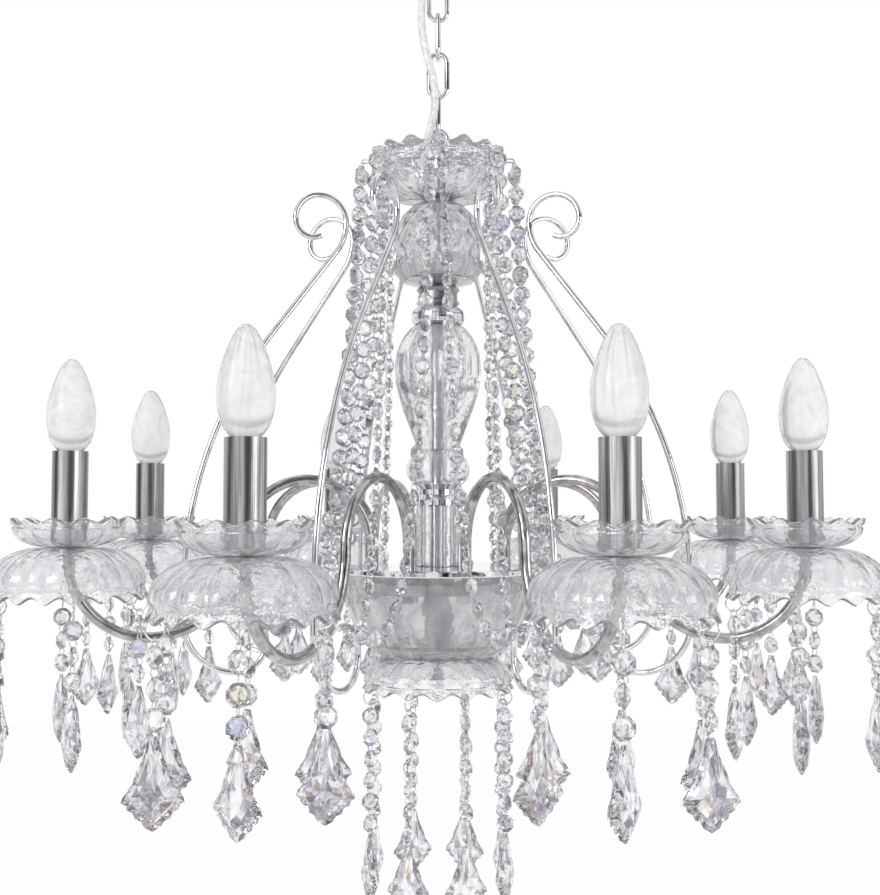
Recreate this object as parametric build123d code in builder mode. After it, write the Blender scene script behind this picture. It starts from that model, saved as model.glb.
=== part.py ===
from build123d import *
from math import asinh, atan2, atanh, cos, degrees, hypot, pi, radians, sin, sinh, sqrt, tan
import os

# Crystal chandelier with eight candle arms, hung by a chain from a ceiling fitting.
# Millimetres, +Z up. The origin is the centre of the ceiling fitting, on the ceiling plane.

os.makedirs("parts", exist_ok=True)

# ---------------------------------------------------------------- driving dimensions
# Clearances
thread_clearance = 0.05
bore_clearance = 0.2
link_gap = 0.3
bead_gap = 0.3
seat_gap = 0.3
cap_clearance = 0.6
ball_cup_clearance = 0.6

# Ceiling fitting
canopy_radius = 54.0
canopy_depth = 40.0
canopy_wall = 1.5
bracket_length = 96.0
bracket_width = 22.0
bracket_thickness = 2.5
bracket_flat_length = 46.0
bracket_drop = 14.0
bracket_ramp = 6.0
slot_spacing = 76.0
slot_length = 12.0
slot_width = 4.6
stem_radius = 5.0
stem_bore_radius = 3.6
nut_across_corners = 16.5
nut_height = 5.0
nut_corner_fillet = 0.8
block_length = 12.0
block_width = 20.0
block_height = 11.0
block_offset = 16.5
block_screw_radius = 1.9
loop_collar_radius = 8.0
loop_collar_height = 13.3
loop_ring_radius = 10.0
loop_root = 1.0

# Chain and cable
chain_wire_radius = 2.0
link_bow_radius = 7.5
link_pitch = 33.0
link_count = 4
cable_radius = 3.2
bush_radius = 6.0
bush_length = 8.0
bush_offset = 16.0

# Column pieces, from the top down
top_ring_radius = 8.0
top_collar_radius = 9.0
top_collar_height = 17.5
cap_height = 22.0
cap_neck_radius = 8.5
cap_foot_height = 3.0
cap_shoulder_radius_share = 0.8
cap_shoulder_height = 12.1
gland_seat_height = 13.64
gland_radius = 4.9
gland_height = 6.5
gland_offset = 12.5
crown_radius = 57.5
crown_depth = 40.0
ball_radius = 37.0
ball_seat_radius = 12.0
ball_wall = 3.0
ball_cup_depth = 22.0
ball_cup_wall = 2.0
neck_sleeve_radius = 18.0
neck_sleeve_height = 17.4
neck_ring_radius = 22.0
neck_ring_height = 17.6
baluster_radius = 36.0
baluster_height = 130.0
baluster_waist_radius = 17.0
baluster_foot_radius = 25.0
baluster_wall = 4.0
collar_radius = 19.5
collar_height = 17.0
base_cylinder_radius = 18.0
base_cylinder_height = 50.5
disc_radius = 80.0
disc_thickness = 5.0
hub_bowl_radius = 78.0
hub_bowl_base_radius = 46.0
hub_bowl_depth = 66.5
hub_bowl_wall = 6.0
spider_radius = 67.0
spider_thickness = 8.0
spider_boss_radius = 12.0
spider_drop = 6.5
lower_pan_radius = 60.0
lower_pan_depth = 29.0
finial_radius = 9.0
finial_length = 33.0
finial_ring_radius = 4.0
rod_radius = 5.0

# Fluted glass pans
pan_wall = 3.5
pan_skirt_wall = 3.0
pan_neck_radius = 20.0
bobeche_radius = 57.5
bobeche_depth = 37.5
bobeche_lobes = 18
column_lobes = 16
lobe_height = 3.0
skirt_share = 0.36
skirt_tuck = 0.04
flute_radius = 6.0
flute_bite = 1.5
flute_share = 0.045
candle_cup_radius = 41.0
candle_cup_depth = 21.0
candle_cup_neck_radius = 16.0
candle_cup_wall = 3.0
candle_cup_lobes = 12

# Arms and scrolls, as distances from the column axis and from the top of the hub disc
arm_count = 8
first_arm_azimuth = 22.5
arm_radius = 4.0
arm_leg_offset = 59.0
arch_radius = 52.0
arch_height = 18.5
candle_offset = 290.0
rise_radius = 60.0
pan_height = 19.5
arm_flange_radius = 9.0
arm_flange_height = 3.0
scroll_rod_radius = 2.25
scroll_offset = 207.0
scroll_foot_height = -35.5
scroll_knee_height = -13.5
scroll_bend_radius = 330.0
scroll_lean = 37.0
scroll_slope_length = 87.0
scroll_reverse_radius = 40.0
scroll_top_curl_radius = 21.0
scroll_inner_curl_radius = 14.0
scroll_inner_curl_arc = 120.0
scroll_heel_radius = 42.0
scroll_foot_curl_radius = 22.0
scroll_foot_curl_arc = 200.0

# Candles and bulbs
sleeve_radius = 12.8
sleeve_wall = 0.8
sleeve_height = 67.0
holder_radius = 11.4
holder_height = 62.0
holder_boss_radius = 7.0
holder_boss_height = 9.0
arm_end_height = 12.0
bulb_cap_radius = 7.0
bulb_cap_length = 27.0
bulb_neck_radius = 8.5
cap_fit = 0.08
bulb_radius = 17.5
bulb_height = 68.0

# Crystals
wire_radius = 0.6
bead_radius = 7.0
bead_half_thickness = 3.0
string_bead_count = 25
string_length = 425.0
string_pair_spread = 9.0
string_end_spread = 8.4
string_clip_angle = 120.0
pin_bend_radius = 2.0
pin_standoff = 3.0
pin_tail = 2.0
pin_head_radius = 1.8
pin_head_thickness = 0.8
pin_hole_radius = 1.0
drop_bead_count = 3
drop_pitch = 17.5
drops_per_bobeche = 6
lower_bead_count = 6
lower_pitch = 16.8
drop_ring_radius = 6.0
drop_turn = 35.0
eye_hole_radius = 2.5
eye_hole_land = 0.3
eye_hole_above_rim = 5.5
pendant_width = 35.0
pendant_height = 52.0
pendant_thickness = 11.5

# ---------------------------------------------------------------- heights, all from the ceiling down
link_span = link_pitch + 2 * chain_wire_radius + link_gap
loop_ring_z = -canopy_depth - loop_collar_height + loop_root - chain_wire_radius - loop_ring_radius
loop_wire_z = loop_ring_z - loop_ring_radius
top_ring_z = (
    loop_wire_z
    - link_count * link_pitch
    + 2 * chain_wire_radius
    + link_gap
    - top_ring_radius
)
top_collar_top_z = top_ring_z - top_ring_radius - chain_wire_radius + loop_root
cap_top_z = top_collar_top_z - top_collar_height
cap_bottom_z = cap_top_z - cap_height
crown_bottom_z = cap_bottom_z - pan_wall
ball_flat_drop = sqrt(ball_radius**2 - ball_seat_radius**2)
ball_z = crown_bottom_z - ball_flat_drop
ball_bottom_z = ball_z - ball_flat_drop
ball_cup_bottom_z = ball_bottom_z - ball_cup_wall
ball_edge_radius = sqrt(ball_radius**2 - (ball_flat_drop - ball_cup_depth + ball_cup_wall) ** 2)
ball_cup_inner_radius = (ball_edge_radius + ball_cup_clearance) / cos(radians(180 / column_lobes))
ball_cup_radius = ball_cup_inner_radius + ball_cup_wall + skirt_tuck * ball_cup_depth
neck_sleeve_bottom_z = ball_cup_bottom_z - neck_sleeve_height
neck_ring_bottom_z = neck_sleeve_bottom_z - neck_ring_height
baluster_bottom_z = neck_ring_bottom_z - baluster_height
collar_bottom_z = baluster_bottom_z - collar_height
disc_top_z = collar_bottom_z - base_cylinder_height
disc_bottom_z = disc_top_z - disc_thickness
hub_bowl_bottom_z = disc_bottom_z - hub_bowl_depth
spider_top_z = disc_bottom_z - spider_drop
spider_bottom_z = spider_top_z - spider_thickness
lower_pan_top_z = hub_bowl_bottom_z
finial_top_z = lower_pan_top_z - pan_skirt_wall
finial_bottom_z = finial_top_z - finial_length
pan_z = disc_top_z + pan_height
rod_bore_radius = rod_radius + bore_clearance
cap_radius = pan_neck_radius * cos(radians(180 / column_lobes)) - cap_clearance
arm_bore_radius = arm_radius + bore_clearance


def turned(*profile):
    """A solid turned about the column axis from a closed outline of (radius, height) points."""
    with BuildPart() as piece:
        with BuildSketch(Plane.XZ):
            with BuildLine():
                Polyline(*profile, close=True)
            make_face()
        revolve(axis=Axis.Z)
    return piece.part


def radial_plane(radius, height, azimuth):
    """A plane that stands at a place round the axis, with its normal pointing outward."""
    turn = radians(azimuth)
    outward = (cos(turn), sin(turn), 0)
    return Plane(origin=(radius * cos(turn), radius * sin(turn), height), x_dir=(0, 0, 1), z_dir=outward)


def eye_hole():
    """The cutter for a drop's hole: a short round land that flares at 45 degrees to both faces."""
    reach = pan_skirt_wall + 1
    flare_radius = eye_hole_radius + reach - eye_hole_land
    with BuildPart() as cutter:
        with BuildSketch(Plane.XZ):
            with BuildLine():
                Polyline(
                    (0, -reach),
                    (flare_radius, -reach),
                    (eye_hole_radius, -eye_hole_land),
                    (eye_hole_radius, eye_hole_land),
                    (flare_radius, reach),
                    (0, reach),
                    close=True,
                )
            make_face()
        revolve(axis=Axis.Z)
    return cutter.part


def cusp_cutter(rim_radius, inner_radius, lobes):
    """The cutter between two lobes of a scalloped edge: it points up and runs outward along +X."""
    wave_half = rim_radius * sin(radians(180 / lobes))
    wave_radius = (wave_half**2 + lobe_height**2) / (2 * lobe_height)
    half_turn = atan2(wave_half, wave_radius - lobe_height) / 2
    mid_width = wave_half - wave_radius * sin(half_turn)
    mid_height = wave_radius * (1 - cos(half_turn))
    with BuildPart() as cutter:
        with BuildSketch(Plane(origin=(inner_radius, 0, 0), x_dir=(0, 1, 0), z_dir=(1, 0, 0))):
            with BuildLine():
                left = ThreePointArc((-wave_half, 0), (-mid_width, mid_height), (0, lobe_height))
                right = ThreePointArc(left @ 1, (mid_width, mid_height), (wave_half, 0))
                Polyline(right @ 1, (wave_half, -lobe_height), (-wave_half, -lobe_height), left @ 0)
            make_face()
        extrude(amount=rim_radius - inner_radius + lobe_height)
    return cutter.part


def star_ring(ridge_radius, valley_radius, lobes, height):
    """The corners of a fluted ring: a ridge at each lobe and a valley between two."""
    corners = []
    for index in range(2 * lobes):
        reach = ridge_radius if index % 2 == 0 else valley_radius
        turn = radians(180 * index / lobes)
        corners.append((reach * cos(turn), reach * sin(turn), height))
    return corners


def ringed_solid(rings):
    """A solid of flat facets between rings of corners, given from the lowest to the highest."""
    facets = [Face(Wire.make_polygon(rings[0][::-1])), Face(Wire.make_polygon(rings[-1]))]
    for lower, upper in zip(rings, rings[1:]):
        for index, corner in enumerate(lower):
            side = (index + 1) % len(lower)
            facets.append(Face(Wire.make_polygon([corner, lower[side], upper[side], upper[index]])))
    return Solid(Shell(facets))


def fluted_pan(rim_radius, neck_radius, depth, lobes, wall, bore_radius, dome_steps=3):
    """A glass pan that opens down from a flat top at height 0: fluted dome and scalloped skirt."""
    dome_height = depth - skirt_share * depth
    dome_reach = rim_radius - neck_radius
    foot_radius = rim_radius - skirt_tuck * depth
    # Every ring has the same star outline, so that the facets between two rings are flat.
    outer_rings = [star_ring(foot_radius, foot_radius * (1 - flute_share), lobes, -depth)]
    inner_foot = foot_radius - wall
    inner_rings = [star_ring(inner_foot, inner_foot * cos(radians(180 / lobes)), lobes, -depth)]
    for step in range(dome_steps + 1):
        rise = sin(radians(90 * step / dome_steps))
        reach = cos(radians(90 * step / dome_steps))
        outer = neck_radius + dome_reach * reach
        outer_height = dome_height * (rise - 1)
        outer_rings.append(star_ring(outer, outer * (1 - flute_share), lobes, outer_height))
        inner = neck_radius + (dome_reach - wall) * reach
        inner_height = (dome_height - wall) * rise - dome_height
        inner_rings.append(star_ring(inner, inner * cos(radians(180 / lobes)), lobes, inner_height))
    with BuildPart() as pan:
        add(ringed_solid(outer_rings))
        add(ringed_solid(inner_rings), mode=Mode.SUBTRACT)
        with BuildSketch(Plane.XY):
            Circle(bore_radius)
        extrude(amount=-2 * wall, mode=Mode.SUBTRACT)
        # The edge is cut to round lobes that meet in cusps.
        cutter = cusp_cutter(rim_radius, neck_radius, lobes)
        with Locations((0, 0, -depth)):
            with PolarLocations(0, lobes, start_angle=180 / lobes):
                add(cutter, mode=Mode.SUBTRACT)
    return pan.part


def upturned(pan):
    """The pan turned over, so that it opens up from height 0."""
    with BuildPart() as turned_over:
        add(pan, rotation=(180, 0, 0))
    return turned_over.part


def hexagon_nut(bore_radius):
    """A hexagon nut that stands on height 0."""
    with BuildPart() as nut:
        with BuildSketch():
            RegularPolygon(nut_across_corners / 2, 6)
            Circle(bore_radius, mode=Mode.SUBTRACT)
        extrude(amount=nut_height)
        corners = nut.edges().filter_by(GeomType.LINE).filter_by(Axis.Z)
        fillet(corners, nut_corner_fillet)
    return nut.part


def wire_ring(ring_radius, wire):
    """A closed ring of round wire that stands in the XZ plane, centred on the origin."""
    with BuildPart() as ring:
        with Locations(Plane.XZ):
            Torus(ring_radius, wire)
    return ring.part


# ---------------------------------------------------------------- ceiling fitting
bracket_middle_z = -bracket_drop
bend_shift = bracket_thickness * tan(atan2(bracket_drop, bracket_ramp) / 2)
with BuildPart() as ceiling_bracket:
    # The strap's ends lie on the ceiling and its middle hangs lower, to leave room for the upper nut.
    with BuildSketch(Plane.XZ):
        with BuildLine():
            Polyline(
                (0, bracket_middle_z),
                (bracket_flat_length / 2, bracket_middle_z),
                (bracket_flat_length / 2 + bracket_ramp, 0),
                (bracket_length / 2, 0),
                (bracket_length / 2, -bracket_thickness),
                (bracket_flat_length / 2 + bracket_ramp + bend_shift, -bracket_thickness),
                (bracket_flat_length / 2 + bend_shift, bracket_middle_z - bracket_thickness),
                (0, bracket_middle_z - bracket_thickness),
                close=True,
            )
        make_face()
        mirror(about=Plane.YZ)
    extrude(amount=bracket_width / 2, both=True)
    with BuildSketch(Plane.XY):
        with Locations((slot_spacing / 2, 0), (-slot_spacing / 2, 0)):
            SlotOverall(slot_length, slot_width)
    extrude(amount=-bracket_thickness, mode=Mode.SUBTRACT)
    with BuildSketch(Plane.XY):
        Circle(stem_radius + thread_clearance)
        with Locations((block_offset, 0)):
            Circle(block_screw_radius)
    extrude(amount=-bracket_drop - bracket_thickness, mode=Mode.SUBTRACT)
ceiling_bracket.part.label = "ceiling_bracket"
export_step(ceiling_bracket.part, "parts/ceiling_bracket.step")

stem_top_z = bracket_middle_z + nut_height + 1
with BuildPart() as canopy_stem:
    with BuildSketch(Plane.XY.offset(-canopy_depth - loop_collar_height + 2)):
        Circle(stem_radius)
        Circle(stem_bore_radius, mode=Mode.SUBTRACT)
    extrude(amount=stem_top_z + canopy_depth + loop_collar_height - 2)
canopy_stem.part.label = "canopy_stem"
export_step(canopy_stem.part, "parts/canopy_stem.step")

stem_nut = hexagon_nut(stem_radius + thread_clearance)
with BuildPart() as stem_nuts:
    with Locations((0, 0, bracket_middle_z), (0, 0, bracket_middle_z - bracket_thickness - nut_height)):
        add(stem_nut)
stem_nuts.part.label = "stem_nuts"
export_step(stem_nuts.part, "parts/stem_nuts.step")

bush_hole_radius = bush_radius + thread_clearance
with BuildPart() as canopy_cup:
    with BuildSketch(Plane.XZ):
        with BuildLine():
            EllipticalCenterArc((0, 0), canopy_radius, canopy_depth, 270, arc_size=90)
            Line((canopy_radius, 0), (canopy_radius - canopy_wall, 0))
            EllipticalCenterArc(
                (0, 0), canopy_radius - canopy_wall, canopy_depth - canopy_wall, 270, arc_size=90
            )
            Line((0, -canopy_depth + canopy_wall), (0, -canopy_depth))
        make_face()
    revolve(axis=Axis.Z)
    # The collar of the loop bears on a flat round its hole.
    with BuildSketch(Plane.XY.offset(-canopy_depth)):
        Circle(loop_collar_radius)
    extrude(amount=canopy_wall)
    with BuildSketch(Plane.XY.offset(-canopy_depth)):
        Circle(stem_radius + bore_clearance)
        with Locations((-bush_offset, 0)):
            Circle(bush_hole_radius)
    extrude(amount=2 * bush_length, mode=Mode.SUBTRACT)
canopy_cup.part.label = "canopy_cup"
export_step(canopy_cup.part, "parts/canopy_cup.step")

loop_ring = wire_ring(loop_ring_radius, chain_wire_radius)
with BuildPart() as canopy_loop:
    with BuildSketch(Plane.XY.offset(-canopy_depth - loop_collar_height)):
        Circle(loop_collar_radius)
    extrude(amount=loop_collar_height)
    fillet(canopy_loop.faces().sort_by(Axis.Z)[0].edges(), 2 * loop_root)
    with BuildSketch(Plane.XY.offset(-canopy_depth - loop_collar_height + 2)):
        Circle(stem_radius + thread_clearance)
    extrude(amount=loop_collar_height - 2, mode=Mode.SUBTRACT)
    with Locations((0, 0, loop_ring_z)):
        add(loop_ring, rotation=(0, 0, 90))
canopy_loop.part.label = "canopy_loop"
export_step(canopy_loop.part, "parts/canopy_loop.step")

bush_bottom_z = -canopy_depth - seat_gap
with BuildPart() as cable_bush:
    with BuildSketch(Plane.XY.offset(bush_bottom_z)):
        with Locations((-bush_offset, 0)):
            Circle(bush_radius)
    extrude(amount=bush_length)
cable_bush.part.label = "cable_bush"
export_step(cable_bush.part, "parts/cable_bush.step")

block_top_z = bracket_middle_z - bracket_thickness
with BuildPart() as terminal_block:
    with BuildSketch(Plane.XY.offset(block_top_z)):
        with Locations((block_offset, 0)):
            Rectangle(block_length, block_width)
    extrude(amount=-block_height)
    with BuildSketch(Plane.XY.offset(block_top_z)):
        with Locations((block_offset, 0)):
            Circle(block_screw_radius)
            with GridLocations(0, block_width * 0.6, 1, 2):
                Circle(block_screw_radius)
    extrude(amount=-block_height, mode=Mode.SUBTRACT)
terminal_block.part.label = "terminal_block"
export_step(terminal_block.part, "parts/terminal_block.step")

# ---------------------------------------------------------------- chain
leg_length = link_span - 2 * link_bow_radius
for number in range(link_count, 0, -1):
    # Link 4 hangs from the ceiling ring, and each link is turned a quarter from the one above.
    upper_wire_z = loop_wire_z + 2 * chain_wire_radius + link_gap - (link_count - number) * link_pitch
    upper_bow_z = upper_wire_z - link_bow_radius
    lower_bow_z = upper_bow_z - leg_length
    face = Plane.XZ if number % 2 == 0 else Plane.YZ
    side = face.x_dir * link_bow_radius
    with BuildPart() as chain_link:
        with BuildSketch(Plane.XY.offset(lower_bow_z)):
            with Locations((side.X, side.Y), (-side.X, -side.Y)):
                Circle(chain_wire_radius)
        extrude(amount=leg_length)
        for bow_z, turn in ((upper_bow_z, face.z_dir), (lower_bow_z, face.z_dir * -1)):
            with BuildSketch(Plane.XY.offset(bow_z)):
                with Locations((side.X, side.Y)):
                    Circle(chain_wire_radius)
            revolve(axis=Axis((0, 0, bow_z), turn), revolution_arc=180)
    chain_link.part.label = f"chain_link_{number}"
    export_step(chain_link.part, f"parts/chain_link_{number}.step")

# ---------------------------------------------------------------- column, from the top down
top_ring = wire_ring(top_ring_radius, chain_wire_radius)
with BuildPart() as top_loop:
    add(
        turned(
            (0, cap_top_z),
            (top_collar_radius, cap_top_z),
            (top_collar_radius, top_collar_top_z - loop_root),
            (top_collar_radius - loop_root, top_collar_top_z),
            (0, top_collar_top_z),
        )
    )
    with Locations((0, 0, top_ring_z)):
        add(top_ring)
    with BuildSketch(Plane.XY.offset(cap_top_z)):
        Circle(rod_radius + thread_clearance)
    extrude(amount=top_collar_height * 0.6, mode=Mode.SUBTRACT)
top_loop.part.label = "top_loop"
export_step(top_loop.part, "parts/top_loop.step")
rod_top_z = cap_top_z + top_collar_height * 0.6 - 1

gland_top_z = cap_bottom_z + gland_seat_height + gland_height
with BuildPart() as crown_cap:
    with BuildSketch(Plane.XZ):
        with BuildLine():
            Line((rod_bore_radius, cap_bottom_z), (cap_radius, cap_bottom_z))
            Line((cap_radius, cap_bottom_z), (cap_radius, cap_bottom_z + cap_foot_height))
            Spline(
                (cap_radius, cap_bottom_z + cap_foot_height),
                (cap_radius * cap_shoulder_radius_share, cap_bottom_z + cap_shoulder_height),
                (cap_neck_radius, cap_top_z),
            )
            Line((cap_neck_radius, cap_top_z), (rod_bore_radius, cap_top_z))
            Line((rod_bore_radius, cap_top_z), (rod_bore_radius, cap_bottom_z))
        make_face()
    revolve(axis=Axis.Z)
    # The cable goes in at a small gland on the bell's shoulder.
    with BuildSketch(Plane.XY.offset(cap_bottom_z)):
        with Locations((-gland_offset, -gland_offset / 2)):
            Circle(gland_radius)
    extrude(amount=gland_top_z - cap_bottom_z)
crown_cap.part.label = "crown_cap"
export_step(crown_cap.part, "parts/crown_cap.step")

column_pan = fluted_pan(crown_radius, pan_neck_radius, crown_depth, column_lobes, pan_wall, rod_bore_radius)
pin_z = crown_bottom_z + crown_depth - eye_hole_above_rim
pin_wall_radius = crown_radius - pan_wall / 2 - skirt_tuck * crown_depth / 2
inner_flat_radius = (pin_wall_radius - pan_wall / 2) * cos(radians(180 / column_lobes))
pin_head_x = inner_flat_radius - pin_head_thickness - seat_gap
with BuildPart() as crown_pan:
    with Locations((0, 0, crown_bottom_z)):
        add(upturned(column_pan))
    # Each pair of strings has two pin holes, side by side.
    with Locations((0, 0, pin_z)):
        with PolarLocations(0, arm_count):
            with Locations(
                Plane(origin=(pin_wall_radius, string_pair_spread / 2, 0), z_dir=(1, 0, 0)),
                Plane(origin=(pin_wall_radius, -string_pair_spread / 2, 0), z_dir=(1, 0, 0)),
            ):
                Cylinder(pin_hole_radius, 3 * pan_wall, mode=Mode.SUBTRACT)
crown_pan.part.label = "crown_pan"
export_step(crown_pan.part, "parts/crown_pan.step")

with BuildPart() as column_ball:
    with Locations((0, 0, ball_z)):
        Sphere(ball_radius)
        Sphere(ball_radius - ball_wall, mode=Mode.SUBTRACT)
    # Both poles are cut flat and bored for the rod.
    with Locations((0, 0, crown_bottom_z), (0, 0, ball_bottom_z)):
        Cylinder(rod_bore_radius + 2, 2 * ball_radius - 2 * ball_flat_drop + 1, mode=Mode.SUBTRACT)
    split(bisect_by=Plane.XY.offset(crown_bottom_z), keep=Keep.BOTTOM)
    split(bisect_by=Plane.XY.offset(ball_bottom_z), keep=Keep.TOP)
column_ball.part.label = "column_ball"
export_step(column_ball.part, "parts/column_ball.step")

ball_cup_pan = fluted_pan(
    ball_cup_radius,
    ball_seat_radius + ball_cup_clearance,
    ball_cup_depth,
    column_lobes,
    ball_cup_wall,
    rod_bore_radius,
    dome_steps=2,
)
with BuildPart() as ball_cup:
    with Locations((0, 0, ball_cup_bottom_z)):
        add(upturned(ball_cup_pan))
ball_cup.part.label = "ball_cup"
export_step(ball_cup.part, "parts/ball_cup.step")

bead_depth = neck_sleeve_height / 6
with BuildPart() as neck_sleeve:
    add(
        turned(
            (rod_bore_radius, neck_sleeve_bottom_z),
            (neck_sleeve_radius - 3, neck_sleeve_bottom_z),
            (neck_sleeve_radius, neck_sleeve_bottom_z + bead_depth),
            (neck_sleeve_radius - 2, neck_sleeve_bottom_z + 2 * bead_depth),
            (neck_sleeve_radius - 2, ball_cup_bottom_z - 2 * bead_depth),
            (neck_sleeve_radius, ball_cup_bottom_z - bead_depth),
            (neck_sleeve_radius - 3, ball_cup_bottom_z),
            (rod_bore_radius, ball_cup_bottom_z),
        )
    )
neck_sleeve.part.label = "neck_sleeve"
export_step(neck_sleeve.part, "parts/neck_sleeve.step")

with BuildPart() as neck_ring:
    with BuildSketch(Plane.XY.offset(neck_ring_bottom_z)):
        Circle(neck_ring_radius)
    extrude(amount=neck_ring_height)
    fillet(neck_ring.edges().filter_by(GeomType.CIRCLE), neck_ring_height / 2.2)
    with BuildSketch(Plane.XY.offset(neck_ring_bottom_z)):
        Circle(rod_bore_radius)
    extrude(amount=neck_ring_height, mode=Mode.SUBTRACT)
neck_ring.part.label = "neck_ring"
export_step(neck_ring.part, "parts/neck_ring.step")

waist_z = baluster_bottom_z + 0.22 * baluster_height
belly_z = baluster_bottom_z + 0.74 * baluster_height
belly_standoff = baluster_radius + flute_radius - flute_bite
with BuildPart() as baluster_vase:
    # The outline swells from a narrow waist to a high belly, over a round foot.
    with BuildSketch(Plane.XZ):
        with BuildLine():
            Spline(
                (0.8 * baluster_foot_radius, baluster_bottom_z),
                (baluster_foot_radius, baluster_bottom_z + 0.05 * baluster_height),
                (baluster_waist_radius, waist_z),
            )
            Spline(
                (baluster_waist_radius, waist_z),
                (0.88 * baluster_radius, baluster_bottom_z + 0.54 * baluster_height),
                (baluster_radius, belly_z),
                (0.62 * baluster_radius, neck_ring_bottom_z),
            )
            Polyline(
                (0.62 * baluster_radius, neck_ring_bottom_z),
                (rod_bore_radius, neck_ring_bottom_z),
                (rod_bore_radius, baluster_bottom_z),
                (0.8 * baluster_foot_radius, baluster_bottom_z),
            )
        make_face()
    revolve(axis=Axis.Z)
    with Locations((0, 0, belly_z)):
        with PolarLocations(belly_standoff, column_lobes):
            Cylinder(flute_radius, baluster_height / 2, mode=Mode.SUBTRACT)
baluster_vase.part.label = "baluster_vase"
export_step(baluster_vase.part, "parts/baluster_vase.step")

collar_step = collar_height / 4
with BuildPart() as lower_collar:
    add(
        turned(
            (rod_bore_radius, collar_bottom_z),
            (collar_radius, collar_bottom_z),
            (collar_radius, collar_bottom_z + collar_step),
            (collar_radius - 3, collar_bottom_z + 2 * collar_step),
            (collar_radius - 3, collar_bottom_z + 3 * collar_step),
            (collar_radius, baluster_bottom_z),
            (rod_bore_radius, baluster_bottom_z),
        )
    )
lower_collar.part.label = "lower_collar"
export_step(lower_collar.part, "parts/lower_collar.step")

with BuildPart() as base_cylinder:
    with BuildSketch(Plane.XY.offset(disc_top_z)):
        Circle(base_cylinder_radius)
        with PolarLocations(base_cylinder_radius + flute_radius - flute_bite, column_lobes // 2):
            Circle(flute_radius, mode=Mode.SUBTRACT)
        Circle(rod_bore_radius, mode=Mode.SUBTRACT)
    extrude(amount=base_cylinder_height)
base_cylinder.part.label = "base_cylinder"
export_step(base_cylinder.part, "parts/base_cylinder.step")

# ---------------------------------------------------------------- hub
with BuildPart() as hub_cover_disc:
    with BuildSketch(Plane.XY.offset(disc_bottom_z)):
        Circle(disc_radius)
    extrude(amount=disc_thickness)
    chamfer(hub_cover_disc.edges().filter_by(GeomType.CIRCLE), disc_thickness / 5)
    with BuildSketch(Plane.XY.offset(disc_bottom_z)):
        Circle(rod_bore_radius)
        with PolarLocations(arm_leg_offset, arm_count, start_angle=first_arm_azimuth):
            Circle(arm_bore_radius)
    extrude(amount=disc_thickness, mode=Mode.SUBTRACT)
hub_cover_disc.part.label = "hub_cover_disc"
export_step(hub_cover_disc.part, "parts/hub_cover_disc.step")


def hub_bowl_form(inset, floor_z):
    """The turned form of the hub bowl, drawn in by the inset and cut off at its floor."""
    with BuildPart() as form:
        with BuildSketch(Plane.XZ):
            with BuildLine():
                rim = Line((0, disc_bottom_z), (hub_bowl_radius - inset, disc_bottom_z))
                ThreePointArc(
                    rim @ 1,
                    (0.94 * hub_bowl_radius - inset, disc_bottom_z - 0.5 * hub_bowl_depth),
                    (0.79 * hub_bowl_radius - inset, disc_bottom_z - 0.86 * hub_bowl_depth),
                )
                Polyline(
                    (0.79 * hub_bowl_radius - inset, disc_bottom_z - 0.86 * hub_bowl_depth),
                    (hub_bowl_base_radius - inset, hub_bowl_bottom_z),
                    (0, hub_bowl_bottom_z),
                    rim @ 0,
                )
            make_face()
        revolve(axis=Axis.Z)
        split(bisect_by=Plane.XY.offset(floor_z), keep=Keep.TOP)
    return form.part


bowl_cut_lean = degrees(atan2(0.21 * hub_bowl_radius, 0.86 * hub_bowl_depth))
bowl_cut_radius = 0.93 * hub_bowl_radius + flute_radius - 2 * flute_bite
with BuildPart() as hub_bowl:
    add(hub_bowl_form(0, hub_bowl_bottom_z))
    add(hub_bowl_form(hub_bowl_wall, hub_bowl_bottom_z + hub_bowl_wall), mode=Mode.SUBTRACT)
    # Upright leaf cuts run round the wall.
    with PolarLocations(0, 2 * column_lobes):
        with Locations((bowl_cut_radius, 0, disc_bottom_z - 0.5 * hub_bowl_depth)):
            Cylinder(flute_radius, hub_bowl_depth, rotation=(0, bowl_cut_lean, 0), mode=Mode.SUBTRACT)
    with BuildSketch(Plane.XY.offset(hub_bowl_bottom_z)):
        Circle(rod_bore_radius)
    extrude(amount=hub_bowl_wall, mode=Mode.SUBTRACT)
hub_bowl.part.label = "hub_bowl"
export_step(hub_bowl.part, "parts/hub_bowl.step")

spider_leg_z = hub_bowl_bottom_z + hub_bowl_wall
with BuildPart() as hub_body:
    with BuildSketch(Plane.XY.offset(spider_bottom_z)):
        Circle(spider_radius)
        with PolarLocations(spider_radius, arm_count):
            Circle(spider_thickness, mode=Mode.SUBTRACT)
    extrude(amount=spider_thickness)
    with BuildSketch(Plane.XY.offset(spider_leg_z)):
        Circle(spider_boss_radius)
    extrude(amount=disc_bottom_z - spider_leg_z)
    with BuildSketch(Plane.XY.offset(spider_leg_z)):
        Circle(rod_bore_radius)
        with PolarLocations(arm_leg_offset, arm_count, start_angle=first_arm_azimuth):
            Circle(arm_radius + thread_clearance)
    extrude(amount=disc_bottom_z - spider_leg_z, mode=Mode.SUBTRACT)
hub_body.part.label = "hub_body"
export_step(hub_body.part, "parts/hub_body.step")

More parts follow.
